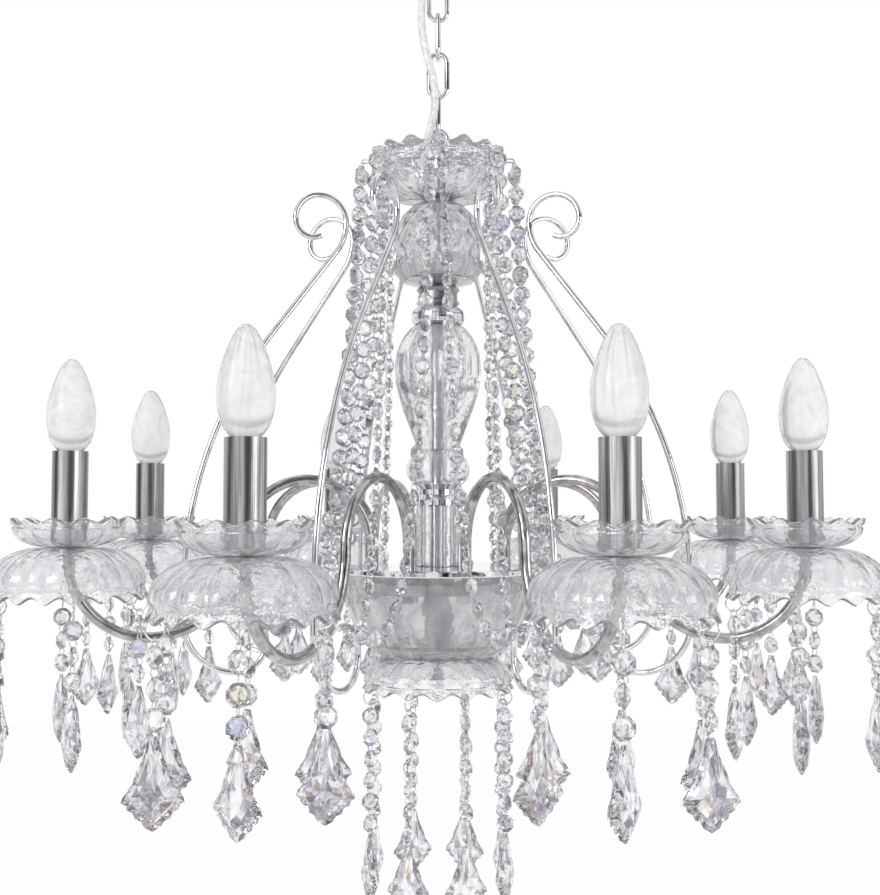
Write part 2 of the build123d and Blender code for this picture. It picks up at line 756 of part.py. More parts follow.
bottom_pan = fluted_pan(
    lower_pan_radius, pan_neck_radius, lower_pan_depth, column_lobes, pan_skirt_wall, rod_bore_radius
)
lower_hole_z = lower_pan_top_z - lower_pan_depth + eye_hole_above_rim
lower_hole_radius = lower_pan_radius - pan_skirt_wall / 2 - skirt_tuck * lower_pan_depth / 2
with BuildPart() as lower_pan:
    with Locations((0, 0, lower_pan_top_z)):
        add(bottom_pan)
    for index in range(arm_count):
        azimuth = first_arm_azimuth + 360 * index / arm_count
        with Locations(radial_plane(lower_hole_radius, lower_hole_z, azimuth)):
            add(eye_hole(), mode=Mode.SUBTRACT)
lower_pan.part.label = "lower_pan"
export_step(lower_pan.part, "parts/lower_pan.step")

finial_ring_z = finial_bottom_z + finial_ring_radius + wire_radius
finial_ball_z = finial_ring_z + finial_ring_radius + finial_radius / 2
with BuildPart() as finial:
    add(
        turned(
            (0, finial_ball_z),
            (finial_radius / 2, finial_ball_z),
            (finial_radius * 0.75, finial_ball_z + 3),
            (finial_radius / 2, finial_ball_z + 6),
            (finial_radius / 2, finial_top_z - 5),
            (finial_radius, finial_top_z - 3),
            (finial_radius, finial_top_z),
            (0, finial_top_z),
        )
    )
    with Locations((0, 0, finial_ball_z)):
        Sphere(finial_radius / 2)
    with Locations((0, 0, finial_ring_z)):
        add(wire_ring(finial_ring_radius, 2 * wire_radius))
    with BuildSketch(Plane.XY.offset(finial_top_z)):
        Circle(rod_radius * 0.6 + thread_clearance)
    extrude(amount=-5, mode=Mode.SUBTRACT)
finial.part.label = "finial"
export_step(finial.part, "parts/finial.step")

with BuildPart() as centre_rod:
    with BuildSketch(Plane.XY.offset(finial_top_z)):
        Circle(rod_radius)
    extrude(amount=rod_top_z - finial_top_z)
    # The lower end steps down to the finial's thread.
    with BuildSketch(Plane.XY.offset(finial_top_z)):
        Circle(rod_radius * 0.6)
    extrude(amount=-4)
centre_rod.part.label = "centre_rod"
export_step(centre_rod.part, "parts/centre_rod.step")

# ---------------------------------------------------------------- arms and scrolls
arch_z = disc_top_z + arch_height
low_offset = candle_offset - rise_radius
fall_radius = low_offset - arm_leg_offset - 2 * arch_radius
low_z = arch_z - fall_radius
arm_leg_bottom_z = spider_bottom_z - nut_height - 1
cup_floor_z = pan_z + candle_cup_wall
scroll_foot_z = disc_top_z + scroll_foot_height
scroll_knee_z = disc_top_z + scroll_knee_height
foot_curl_centre = (
    scroll_offset - scroll_heel_radius,
    scroll_foot_z - scroll_heel_radius + scroll_foot_curl_radius,
)


def scroll_rod(radius):
    """One scroll of round rod in the XZ plane, from its inner top curl down to its foot curl."""
    lean = radians(scroll_lean)
    with BuildPart() as scroll:
        with BuildLine(Plane.XZ) as route:
            bend_x = scroll_offset - scroll_bend_radius
            bend = CenterArc((bend_x, scroll_knee_z), scroll_bend_radius, 0, scroll_lean)
            slope_end = (
                (bend @ 1).X - scroll_slope_length * sin(lean),
                (bend @ 1).Z + scroll_slope_length * cos(lean),
            )
            turn_centre = (
                slope_end[0] + scroll_reverse_radius * cos(lean),
                slope_end[1] + scroll_reverse_radius * sin(lean),
            )
            Line(((bend @ 1).X, (bend @ 1).Z), slope_end)
            CenterArc(turn_centre, scroll_reverse_radius, 180 + scroll_lean, -scroll_lean)
            top_x = turn_centre[0] - scroll_reverse_radius + scroll_top_curl_radius
            CenterArc((top_x, turn_centre[1]), scroll_top_curl_radius, 180, -180)
            inner_x = top_x + scroll_top_curl_radius - scroll_inner_curl_radius
            CenterArc((inner_x, turn_centre[1]), scroll_inner_curl_radius, 0, -scroll_inner_curl_arc)
            Line((scroll_offset, scroll_knee_z), (scroll_offset, scroll_foot_z))
            heel_centre = (scroll_offset - scroll_heel_radius, scroll_foot_z)
            CenterArc(heel_centre, scroll_heel_radius, 0, -90)
            CenterArc(foot_curl_centre, scroll_foot_curl_radius, 270, -scroll_foot_curl_arc)
        path = route.wire()
        with BuildSketch(Plane(origin=path @ 0, z_dir=path % 0)):
            Circle(radius)
        sweep(path=path)
    return scroll.part


with BuildPart() as arm_pattern:
    with BuildLine(Plane.XZ) as arm_route:
        Line((arm_leg_offset, arm_leg_bottom_z), (arm_leg_offset, arch_z))
        CenterArc((arm_leg_offset + arch_radius, arch_z), arch_radius, 180, -180)
        CenterArc((low_offset, arch_z), fall_radius, 180, 90)
        CenterArc((low_offset, low_z + rise_radius), rise_radius, 270, 90)
        Line((candle_offset, low_z + rise_radius), (candle_offset, cup_floor_z + arm_end_height))
    arm_path = arm_route.wire()
    with BuildSketch(Plane(origin=arm_path @ 0, z_dir=arm_path % 0)):
        Circle(arm_radius)
    sweep(path=arm_path)
    # The glass pan rests on a flange, and the scroll goes through a cross hole.
    with BuildSketch(Plane.XY.offset(pan_z - pan_wall)):
        with Locations((candle_offset, 0)):
            Circle(arm_flange_radius)
    extrude(amount=-arm_flange_height)
    add(scroll_rod(scroll_rod_radius + thread_clearance), mode=Mode.SUBTRACT)

for number in range(arm_count):
    with BuildPart() as arm:
        add(arm_pattern.part, rotation=(0, 0, first_arm_azimuth + 360 * number / arm_count))
    arm.part.label = f"arm_{number + 1}"
    export_step(arm.part, f"parts/arm_{number + 1}.step")

arm_nut = hexagon_nut(arm_radius + thread_clearance)
with BuildPart() as arm_nuts:
    with Locations((0, 0, spider_bottom_z - nut_height)):
        with PolarLocations(arm_leg_offset, arm_count, start_angle=first_arm_azimuth):
            add(arm_nut)
arm_nuts.part.label = "arm_nuts"
export_step(arm_nuts.part, "parts/arm_nuts.step")

scroll_pattern = scroll_rod(scroll_rod_radius)
with BuildPart() as scroll_rods:
    with PolarLocations(0, arm_count, start_angle=first_arm_azimuth):
        add(scroll_pattern)
scroll_rods.part.label = "scroll_rods"
export_step(scroll_rods.part, "parts/scroll_rods.step")

# ---------------------------------------------------------------- candles
bobeche = fluted_pan(
    bobeche_radius, pan_neck_radius, bobeche_depth, bobeche_lobes, pan_wall, arm_bore_radius
)
bobeche_hole_radius = bobeche_radius - pan_wall / 2 - skirt_tuck * bobeche_depth / 2
bobeche_hole_height = -bobeche_depth + eye_hole_above_rim
first_drop_azimuth = 180 / drops_per_bobeche
with BuildPart() as bobeche_pattern:
    # The pan is turned by half a lobe, so that each drop's hole is in the middle of a lobe.
    add(bobeche, rotation=(0, 0, 180 / bobeche_lobes))
    for index in range(drops_per_bobeche):
        azimuth = first_drop_azimuth + 360 * index / drops_per_bobeche
        with Locations(radial_plane(bobeche_hole_radius, bobeche_hole_height, azimuth)):
            add(eye_hole(), mode=Mode.SUBTRACT)
with BuildPart() as bobeche_pans:
    with Locations((0, 0, pan_z)):
        with PolarLocations(candle_offset, arm_count, start_angle=first_arm_azimuth):
            add(bobeche_pattern.part)
bobeche_pans.part.label = "bobeche_pans"
export_step(bobeche_pans.part, "parts/bobeche_pans.step")

candle_cup = upturned(
    fluted_pan(
        candle_cup_radius,
        candle_cup_neck_radius,
        candle_cup_depth,
        candle_cup_lobes,
        candle_cup_wall,
        arm_bore_radius,
        dome_steps=2,
    )
)
with BuildPart() as candle_cups:
    with Locations((0, 0, pan_z)):
        with PolarLocations(candle_offset, arm_count, start_angle=first_arm_azimuth):
            add(candle_cup)
candle_cups.part.label = "candle_cups"
export_step(candle_cups.part, "parts/candle_cups.step")

with BuildPart() as candle_sleeves:
    with BuildSketch(Plane.XY.offset(cup_floor_z)):
        with PolarLocations(candle_offset, arm_count, start_angle=first_arm_azimuth):
            Circle(sleeve_radius)
            Circle(sleeve_radius - sleeve_wall, mode=Mode.SUBTRACT)
    extrude(amount=sleeve_height)
candle_sleeves.part.label = "candle_sleeves"
export_step(candle_sleeves.part, "parts/candle_sleeves.step")

sleeve_top_z = cup_floor_z + sleeve_height
socket_radius = bulb_cap_radius + cap_fit
socket_depth = holder_height - (sleeve_height - bulb_cap_length) + seat_gap
with BuildPart() as holder_pattern:
    with BuildSketch():
        Circle(holder_boss_radius)
    extrude(amount=holder_boss_height)
    with BuildSketch(Plane.XY.offset(holder_boss_height)):
        Circle(holder_radius)
    extrude(amount=holder_height - holder_boss_height)
    with BuildSketch():
        Circle(arm_radius + thread_clearance)
    extrude(amount=arm_end_height + 1, mode=Mode.SUBTRACT)
    with BuildSketch(Plane.XY.offset(holder_height)):
        Circle(socket_radius)
    extrude(amount=-socket_depth, mode=Mode.SUBTRACT)
    chamfer(holder_pattern.faces().sort_by(Axis.Z)[-1].edges().sort_by(SortBy.RADIUS)[-1], 1)
with BuildPart() as lampholders:
    with Locations((0, 0, cup_floor_z)):
        with PolarLocations(candle_offset, arm_count, start_angle=first_arm_azimuth):
            add(holder_pattern.part)
lampholders.part.label = "lampholders"
export_step(lampholders.part, "parts/lampholders.step")

with BuildPart() as bulb_pattern:
    # The glass is a slim flame shape, widest at two fifths of its height.
    with BuildSketch(Plane.XZ):
        with BuildLine():
            Bezier(
                (bulb_neck_radius, 0),
                (0.86 * bulb_radius, 0.08 * bulb_height),
                (bulb_radius, 0.2 * bulb_height),
                (bulb_radius, 0.38 * bulb_height),
            )
            Bezier(
                (bulb_radius, 0.38 * bulb_height),
                (bulb_radius, 0.66 * bulb_height),
                (0.5 * bulb_radius, 0.84 * bulb_height),
                (0.42 * bulb_radius, bulb_height),
                (0, bulb_height),
            )
            Polyline((0, bulb_height), (0, 0), (bulb_neck_radius, 0))
        make_face()
    revolve(axis=Axis.Z)
    with BuildSketch():
        Circle(bulb_cap_radius)
    extrude(amount=-bulb_cap_length)
    chamfer(bulb_pattern.faces().sort_by(Axis.Z)[0].edges(), 2)
for number in range(arm_count):
    turn = radians(first_arm_azimuth + 360 * number / arm_count)
    with BuildPart() as bulb:
        with Locations((candle_offset * cos(turn), candle_offset * sin(turn), sleeve_top_z)):
            add(bulb_pattern.part)
    bulb.part.label = f"bulb_{number + 1}"
    export_step(bulb.part, f"parts/bulb_{number + 1}.step")

# ---------------------------------------------------------------- crystals


def cut_stone(edge, crown, base):
    """A stone of flat facets: each side of its edge outline runs to the crown and to the base."""
    facets = []
    for start, end in zip(edge, edge[1:] + edge[:1]):
        facets.append(Face(Wire.make_polygon([start, end, crown])))
        facets.append(Face(Wire.make_polygon([end, start, base])))
    return Solid(Shell(facets))


def crystal_bead(radius, half_length):
    """A flat cut bead in the XY plane. Its two ends reach along Y, for its wire eyes."""
    shoulder = 0.45 * radius
    edge = [
        (0, half_length, 0),
        (-radius, shoulder, 0),
        (-radius, -shoulder, 0),
        (0, -half_length, 0),
        (radius, -shoulder, 0),
        (radius, shoulder, 0),
    ]
    with BuildPart() as bead:
        add(cut_stone(edge, (0, 0, bead_half_thickness), (0, 0, -bead_half_thickness)))
    return bead.part


def leaf_pendant():
    """A cut leaf pendant in the XY plane, its top at the origin and its tip down along -Y."""
    outline = (
        (0.14, 0.0),
        (0.26, 0.18),
        (0.6, 0.42),
        (0.72, 0.54),
        (1.0, 0.68),
        (0.56, 0.82),
    )
    right = [(share * pendant_width / 2, -drop * pendant_height, 0) for share, drop in outline]
    left = [(-across, down, 0) for across, down, _ in reversed(right)]
    edge = [*right, (0, -pendant_height, 0), *left]
    table_drop = -0.66 * pendant_height
    with BuildPart() as pendant:
        add(cut_stone(edge, (0, table_drop, pendant_thickness / 2), (0, table_drop, -pendant_thickness / 2)))
    return pendant.part


def crystal_drop(bead, count, pitch, turn):
    """A hanging drop at the origin: a ring through an eye hole, beads below it, then a pendant."""
    ring_low = -2 * drop_ring_radius - wire_radius - bead_gap
    with BuildPart() as drop:
        with Locations((0, 0, -drop_ring_radius)):
            add(wire_ring(drop_ring_radius, wire_radius))
        for index in range(count):
            with Locations((0, 0, ring_low - pitch * (index + 0.5))):
                add(bead, rotation=(90, turn * (index + 1), 0))
        with Locations((0, 0, ring_low - pitch * count)):
            add(leaf_pendant(), rotation=(90, 90 + turn * (count + 1), 0))
    return drop.part


drop_bead = crystal_bead(bead_radius, (drop_pitch - bead_gap) / 2)
lower_bead = crystal_bead(bead_radius, (lower_pitch - bead_gap) / 2)
ring_seat = eye_hole_radius - wire_radius - seat_gap

drop_patterns = [
    crystal_drop(drop_bead, drop_bead_count, drop_pitch, drop_turn * (index + 1)) for index in range(3)
]
with BuildPart() as bobeche_drop_set:
    for index in range(drops_per_bobeche):
        azimuth = first_drop_azimuth + 360 * index / drops_per_bobeche
        with Locations(
            Location(
                (
                    bobeche_hole_radius * cos(radians(azimuth)),
                    bobeche_hole_radius * sin(radians(azimuth)),
                    bobeche_hole_height - ring_seat,
                ),
                (0, 0, azimuth),
            )
        ):
            add(drop_patterns[index % 3])
with BuildPart() as bobeche_drops:
    with Locations((0, 0, pan_z)):
        with PolarLocations(candle_offset, arm_count, start_angle=first_arm_azimuth):
            add(bobeche_drop_set.part)
bobeche_drops.part.label = "bobeche_drops"
export_step(bobeche_drops.part, "parts/bobeche_drops.step")

lower_drop_pattern = crystal_drop(lower_bead, lower_bead_count, lower_pitch, 0)
for number in range(arm_count):
    azimuth = first_arm_azimuth + 360 * number / arm_count
    with BuildPart() as lower_drop:
        with Locations(
            Location(
                (
                    lower_hole_radius * cos(radians(azimuth)),
                    lower_hole_radius * sin(radians(azimuth)),
                    lower_hole_z - ring_seat,
                ),
                (0, 0, azimuth),
            )
        ):
            add(lower_drop_pattern)
    lower_drop.part.label = f"lower_drop_{number + 1}"
    export_step(lower_drop.part, f"parts/lower_drop_{number + 1}.step")


def hanging_points(start, end, length, count):
    """Evenly spaced points of a string of that length that hangs from start to end, as a catenary."""
    across = hypot(end[0] - start[0], end[1] - start[1])
    fall = end[2] - start[2]
    stretch = sqrt(length**2 - fall**2) / across
    low, high = 0.01, 20.0
    for _ in range(60):
        middle = (low + high) / 2
        low, high = (middle, high) if sinh(middle) / middle < stretch else (low, middle)
    scale = across / (2 * low)
    lowest = across / 2 - scale * atanh(fall / length)
    points = []
    for index in range(count + 1):
        run = lowest + scale * asinh(length * index / count / scale + sinh(-lowest / scale))
        sag = scale * (hypot(1, sinh((run - lowest) / scale)) - hypot(1, sinh(lowest / scale)))
        share = run / across
        points.append(
            Vector(
                start[0] + share * (end[0] - start[0]),
                start[1] + share * (end[1] - start[1]),
                start[2] + sag,
            )
        )
    return points


# One string runs from a pin in the crown to the foot curl of the scroll on its left.
pin_outer_radius = pin_wall_radius + pan_wall / 2 + pin_standoff + pin_bend_radius
string_start = (
    pin_outer_radius + pin_bend_radius,
    string_pair_spread / 2,
    pin_z - pin_bend_radius - pin_tail - bead_gap,
)
clip_offset = foot_curl_centre[0] + scroll_foot_curl_radius * cos(radians(string_clip_angle))
clip_z = foot_curl_centre[1] + scroll_foot_curl_radius * sin(radians(string_clip_angle))
scroll_turn = radians(first_arm_azimuth)
string_end = (
    clip_offset * cos(scroll_turn) + string_end_spread / 2 * sin(scroll_turn),
    clip_offset * sin(scroll_turn) - string_end_spread / 2 * cos(scroll_turn),
    clip_z,
)
string_points = hanging_points(string_start, string_end, string_length, string_bead_count)
string_chords = list(zip(string_points, string_points[1:]))
shortest_chord = min((lower - upper).length for upper, lower in string_chords)
string_bead = crystal_bead(bead_radius, (shortest_chord - bead_gap) / 2)
string_normal = Vector(
    string_start[1] - string_end[1],
    string_end[0] - string_start[0],
    0,
).normalized()
with BuildPart() as left_string:
    with BuildLine(Plane.XZ.offset(-string_pair_spread / 2)) as pin_route:
        Line((pin_head_x, pin_z), (pin_outer_radius, pin_z))
        CenterArc((pin_outer_radius, pin_z - pin_bend_radius), pin_bend_radius, 90, -90)
        Line(
            (pin_outer_radius + pin_bend_radius, pin_z - pin_bend_radius),
            (pin_outer_radius + pin_bend_radius, pin_z - pin_bend_radius - pin_tail),
        )
    pin_path = pin_route.wire()
    with BuildSketch(Plane(origin=pin_path @ 0, z_dir=pin_path % 0)):
        Circle(wire_radius)
    sweep(path=pin_path)
    with Locations(
        Plane(origin=(pin_head_x, string_pair_spread / 2, pin_z), z_dir=(1, 0, 0))
    ):
        Cylinder(pin_head_radius, pin_head_thickness)
    bead_planes = []
    for upper, lower in string_chords:
        along = (lower - upper).normalized()
        bead_planes.append(Plane((upper + lower) / 2, x_dir=along.cross(string_normal), z_dir=string_normal))
    with Locations(*bead_planes):
        add(string_bead)
with BuildPart() as right_string:
    add(left_string.part)
    mirror(about=Plane.XZ, mode=Mode.REPLACE)
with BuildPart() as string_clip:
    clip_turn = radians(string_clip_angle)
    with Locations(
        Plane(
            origin=(clip_offset, 0, clip_z),
            x_dir=(cos(clip_turn), 0, sin(clip_turn)),
            z_dir=(-sin(clip_turn), 0, cos(clip_turn)),
        )
    ):
        Torus(scroll_rod_radius + thread_clearance + wire_radius, wire_radius)
with BuildPart() as crown_strings:
    with PolarLocations(0, arm_count):
        add(left_string.part)
        add(right_string.part)
    with PolarLocations(0, arm_count, start_angle=first_arm_azimuth):
        add(string_clip.part)
crown_strings.part.label = "crown_strings"
export_step(crown_strings.part, "parts/crown_strings.step")

# ---------------------------------------------------------------- supply cable
# It leaves the canopy beside the chain, crosses in front of the lowest links and ends in the gland.
cable_points = [
    (-bush_offset, 0, bush_bottom_z),
    (-bush_offset, 0, -58),
    (-12.6, -4.5, -82),
    (-14.4, -10, -108),
    (-11.6, -13, -133),
    (-4.5, -13.8, -158),
    (-1.2, -14, -182),
    (-5.5, -12.5, -203),
    (-gland_offset, -gland_offset / 2, -222),
    (-gland_offset, -gland_offset / 2, gland_top_z),
]
cable_corners = [Vector(*point) for point in cable_points]
cable_radii = []
for before, corner, after in zip(cable_corners, cable_corners[1:], cable_corners[2:]):
    turn = (corner - before).get_angle(after - corner)
    shorter_run = min((corner - before).length, (after - corner).length)
    cable_radii.append(0.45 * shorter_run / tan(radians(turn / 2)))
print("cable bend radii in mm:", [round(radius) for radius in cable_radii])
with BuildPart() as supply_cable:
    with BuildLine() as cable_route:
        FilletPolyline(*cable_points, radius=cable_radii)
    cable_path = cable_route.wire()
    with BuildSketch(Plane(origin=cable_path @ 0, z_dir=cable_path % 0)):
        Circle(cable_radius)
    sweep(path=cable_path)
supply_cable.part.label = "supply_cable"
export_step(supply_cable.part, "parts/supply_cable.step")
cable_length = cable_path.length
volume_share = supply_cable.part.volume / (pi * cable_radius**2 * cable_length)
print("cable length in mm:", round(cable_length, 1), "volume share:", round(volume_share, 4))
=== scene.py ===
# %% [markdown]
# # A crystal chandelier, dressed for its picture
# The imported model holds every piece at its real size. This lesson loads it as a fixed frame and then
# gives each piece its finish, or makes a finer piece where the plain solid can't show what the real
# one does: cut crystals, fluted glass, the cut ball and bowl of the column, and a smooth cable in lengths.
# Sizes of pieces are in millimetres, and MM turns them into the metres of the frame.
# %% Load the frame
import random
from math import asin, atan2, cos, degrees, pi, radians, sin

import bmesh
import bpy
from mathutils import Matrix, Vector


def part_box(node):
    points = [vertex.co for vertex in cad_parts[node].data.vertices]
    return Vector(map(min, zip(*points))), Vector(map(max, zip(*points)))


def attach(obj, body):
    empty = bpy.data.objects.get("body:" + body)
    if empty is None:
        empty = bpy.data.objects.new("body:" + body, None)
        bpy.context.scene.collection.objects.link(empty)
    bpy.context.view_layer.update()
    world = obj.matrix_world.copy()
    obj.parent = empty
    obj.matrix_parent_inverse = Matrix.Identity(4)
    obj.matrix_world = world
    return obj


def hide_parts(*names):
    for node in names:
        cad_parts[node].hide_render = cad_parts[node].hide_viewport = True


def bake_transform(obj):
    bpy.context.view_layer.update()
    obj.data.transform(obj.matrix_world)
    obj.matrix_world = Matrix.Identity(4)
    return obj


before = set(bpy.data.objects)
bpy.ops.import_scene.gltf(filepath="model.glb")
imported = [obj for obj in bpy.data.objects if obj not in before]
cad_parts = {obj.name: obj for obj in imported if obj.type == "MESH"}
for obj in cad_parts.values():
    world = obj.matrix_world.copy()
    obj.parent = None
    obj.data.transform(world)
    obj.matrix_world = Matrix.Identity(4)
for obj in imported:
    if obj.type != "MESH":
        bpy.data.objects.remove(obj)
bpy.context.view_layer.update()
MM = 0.001
ARMS = 8
FIRST_ARM = 22.5

# %% [markdown]
# The camera stands where the photographer stood: just under the level of the glass pans, near enough
# for the front candles to look larger than the back ones. It is tilted up by the angle that puts the
# horizon at its row of the picture, and turned a little, because the column is left of the middle.
# %% Camera
FOCAL_PX = 1140
LONG_SIDE_PX = 895
SHORT_SIDE_PX = 880
HORIZON_PX = 510
COLUMN_PX = 438
CAMERA_DISTANCE = 0.9425
CAMERA_HEIGHT = -0.520
CAMERA_AZIMUTH = radians(0.7)

camera_data = bpy.data.cameras.new("camera")
camera_data.sensor_width = 36
camera_data.lens = FOCAL_PX / LONG_SIDE_PX * camera_data.sensor_width
camera = bpy.data.objects.new("camera", camera_data)
bpy.context.scene.collection.objects.link(camera)
camera.location = (
    CAMERA_DISTANCE * sin(CAMERA_AZIMUTH),
    -CAMERA_DISTANCE * cos(CAMERA_AZIMUTH),
    CAMERA_HEIGHT,
)
tilt = atan2(HORIZON_PX - LONG_SIDE_PX / 2, FOCAL_PX)
swing = atan2(SHORT_SIDE_PX / 2 - COLUMN_PX, FOCAL_PX)
camera.rotation_euler = (pi / 2 + tilt, 0, CAMERA_AZIMUTH - swing)
bpy.context.scene.camera = camera
print("lens:", round(camera_data.lens, 2), "tilt:", round(degrees(tilt), 2))

# %% [markdown]
# Colours are written as in a paint program, in sRGB, and turned to the linear values that the renderer
# works with. One small function adds a node, sets its inputs and links what feeds it. The others are the
# steps that most finishes share: patches of noise, a colour that follows them and a fine relief.
# %% Helpers for materials


def linear(hex_colour):
    """The linear RGBA of an sRGB colour such as C8C8CC."""
    parts = [int(hex_colour[i : i + 2], 16) / 255 for i in (0, 2, 4)]
    return (*[c / 12.92 if c <= 0.04045 else ((c + 0.055) / 1.055) ** 2.4 for c in parts], 1)


def node(tree, kind, settings=None, **inputs):
    """Adds a node. Settings are its own properties, and inputs are values or (node, output) links."""
    made = tree.nodes.new(kind)
    for key, value in (settings or {}).items():
        setattr(made, key, value)
    for key, value in inputs.items():
        name = key.replace("_", " ")
        socket = made.inputs[int(key[1:])] if key[1:].isdigit() and key[0] == "i" else made.inputs[name]
        if isinstance(value, tuple) and len(value) == 2 and isinstance(value[0], bpy.types.Node):
            tree.links.new(value[0].outputs[value[1]], socket)
        else:
            socket.default_value = value
    return made


def new_material(name):
    """A material with its node tree, its shader and its object coordinates."""
    material = bpy.data.materials.new(name)
    material.use_nodes = True
    tree = material.node_tree
    shader = tree.nodes["Principled BSDF"]
    place = tree.nodes.new("ShaderNodeTexCoord")
    return material, tree, shader, place


def ramp(tree, fac, *stops):
    """A colour ramp from (position, hex colour) stops."""
    made = node(tree, "ShaderNodeValToRGB", Fac=fac)
    elements = made.color_ramp.elements
    while len(elements) < len(stops):
        elements.new(0.5)
    for element, (position, colour) in zip(elements, stops):
        element.position = position
        element.color = linear(colour)
    return made


def noise(tree, place, patch_mm, detail):
    """Noise fixed to the object, whose patches are patch_mm wide."""
    scale = 1 / (patch_mm * MM)
    return node(tree, "ShaderNodeTexNoise", Vector=(place, "Object"), Scale=scale, Detail=detail)


def colour_by(tree, shader, fac, *stops):
    """Colours the surface by a ramp."""
    tone = ramp(tree, fac, *stops)
    tree.links.new(tone.outputs["Color"], shader.inputs["Base Color"])


def relief(tree, shader, height, strength, depth_mm):
    """Gives the surface a fine relief, depth_mm from its lowest to its highest."""
    bump = node(tree, "ShaderNodeBump", Strength=strength, Distance=depth_mm * MM, Height=height)
    tree.links.new(bump.outputs[0], shader.inputs["Normal"])


print("middle grey 808080 is", round(linear("808080")[0], 3), "in linear light")

# %% [markdown]
# Chrome plate is a mirror, so it shows its surroundings: the bright studio and its dark cards. The tubes
# are drawn before they are plated, which leaves faint ripples and a soft haze. The thick arms carry more
# of that haze than the rods and small fittings do, and their plate is also painted greyer and a little
# warmer, a painted reflection of darker surroundings than the studio gives.
# %% Chrome plate
MIRROR_ROUGHNESS = 0.03


def chrome_plate(name, dark, light, haze_mm, roughest):
    """Chrome plate whose haze has patches of haze_mm, from dark to light."""
    material, tree, shader, place = new_material(name)
    shader.inputs["Metallic"].default_value = 1
    haze = noise(tree, place, haze_mm, 3.0)
    colour_by(tree, shader, (haze, "Fac"), (0.3, dark), (0.7, light))
    rough = node(tree, "ShaderNodeMapRange", i0=(haze, "Fac"), i3=MIRROR_ROUGHNESS, i4=roughest)
    tree.links.new(rough.outputs[0], shader.inputs["Roughness"])
    ripple = noise(tree, place, haze_mm / 3, 2.0)
    relief(tree, shader, (ripple, "Fac"), 0.12, 0.4)
    return material


chrome = chrome_plate("chrome_plate_polished", "CBCBCF", "EDEDF0", haze_mm=11.0, roughest=0.09)
# The arms' darker, warmer colours are a painted reflection; their greater roughness is the haze.
arm_chrome_painted_darker = chrome_plate("chrome_plate_hazed_painted_darker", "9A9596", "C9C6C8", haze_mm=8.0, roughest=0.2)
print("made:", chrome.name, arm_chrome_painted_darker.name)

# %% [markdown]
# Brushed nickel is rubbed lengthwise with an abrasive belt, so the sleeves have fine upright lines, and
# broad darker and lighter bands. The real lines are a tenth of a millimetre apart, too fine to show, so
# they are drawn ten times as coarse.
# %% Brushed nickel
nickel, tree, shader, place = new_material("brushed_nickel_plate")
shader.inputs["Metallic"].default_value = 1
stretch = node(tree, "ShaderNodeMapping", Vector=(place, "Object"), Scale=(1.0, 1.0, 0.02))
lines = node(tree, "ShaderNodeTexNoise", Vector=(stretch, "Vector"), Scale=900.0, Detail=4.0)
bands = node(tree, "ShaderNodeTexNoise", Vector=(stretch, "Vector"), Scale=130.0, Detail=2.0)
mixed = node(tree, "ShaderNodeMath", {"operation": "MULTIPLY"}, i0=(lines, "Fac"), i1=(bands, "Fac"))
colour_by(tree, shader, (mixed, "Value"), (0.1, "6E6B6E"), (0.26, "A09DA0"), (0.42, "D9D7DA"))
shader.inputs["Roughness"].default_value = 0.28
relief(tree, shader, (lines, "Fac"), 0.25, 0.3)
print("made:", nickel.name)

# %% [markdown]
# Zinc-plated steel is duller and bluer than chrome, with the large soft grains of the zinc.
# %% Zinc-plated steel
zinc, tree, shader, place = new_material("zinc_plated_steel")
shader.inputs["Metallic"].default_value = 1
grains = node(tree, "ShaderNodeTexVoronoi", Vector=(place, "Object"), Scale=400.0)
colour_by(tree, shader, (grains, "Distance"), (0.0, "9EA1A6"), (0.8, "C4C6CA"))
shader.inputs["Roughness"].default_value = 0.32
print("made:", zinc.name)

# %% [markdown]
# Pressed glass takes its flutes from a mould, and its surface is a little wavy, which bends what is
# seen through it into light and dark threads. It has a faint lavender tint, as old lead-free glass has,
# and its many small inner reflections give it a white body, which is the part that isn't transmission.
# %% Pressed glass


def clear_glass(name, tint, clearness, wave_mm, wave_strength):
    """Clear glass with a wavy surface, whose waves are wave_mm wide."""
    material, tree, shader, place = new_material(name)
    shader.inputs["Transmission Weight"].default_value = clearness
    shader.inputs["IOR"].default_value = 1.5
    shader.inputs["Roughness"].default_value = 0.02
    waves = noise(tree, place, wave_mm, 2.0)
    colour_by(tree, shader, (waves, "Fac"), (0.3, tint), (0.6, "FFFFFF"))
    relief(tree, shader, (waves, "Fac"), wave_strength, 1.0)
    return material


pressed_glass = clear_glass(
    "pressed_glass_fire_polished", "F0EFF5", clearness=0.88, wave_mm=8.0, wave_strength=0.7
)
hub_glass = clear_glass("pressed_glass_lavender", "DDDAE0", clearness=0.8, wave_mm=14.0, wave_strength=1.4)
print("made:", pressed_glass.name, hub_glass.name)

# %% [markdown]
# Cut crystal is ground and polished flat facet by flat facet. Each facet bends the light its own way, so
# neighbouring facets look white, grey or, here and there, tan and lilac. That look is painted: each facet
# carries a painted reflection as a colour attribute, drawn by a seeded random number, and the glass does
# the rest.
# %% Cut crystal
crystal, tree, shader, place = new_material("cut_crystal_polished")
shader.inputs["Transmission Weight"].default_value = 0.9
shader.inputs["IOR"].default_value = 1.58
shader.inputs["Roughness"].default_value = 0.0
# The base colour is each facet's painted reflection.
facet = node(tree, "ShaderNodeVertexColor", {"layer_name": "facet_painted_reflection"})
tree.links.new(facet.outputs["Color"], shader.inputs["Base Color"])
print("made:", crystal.name)

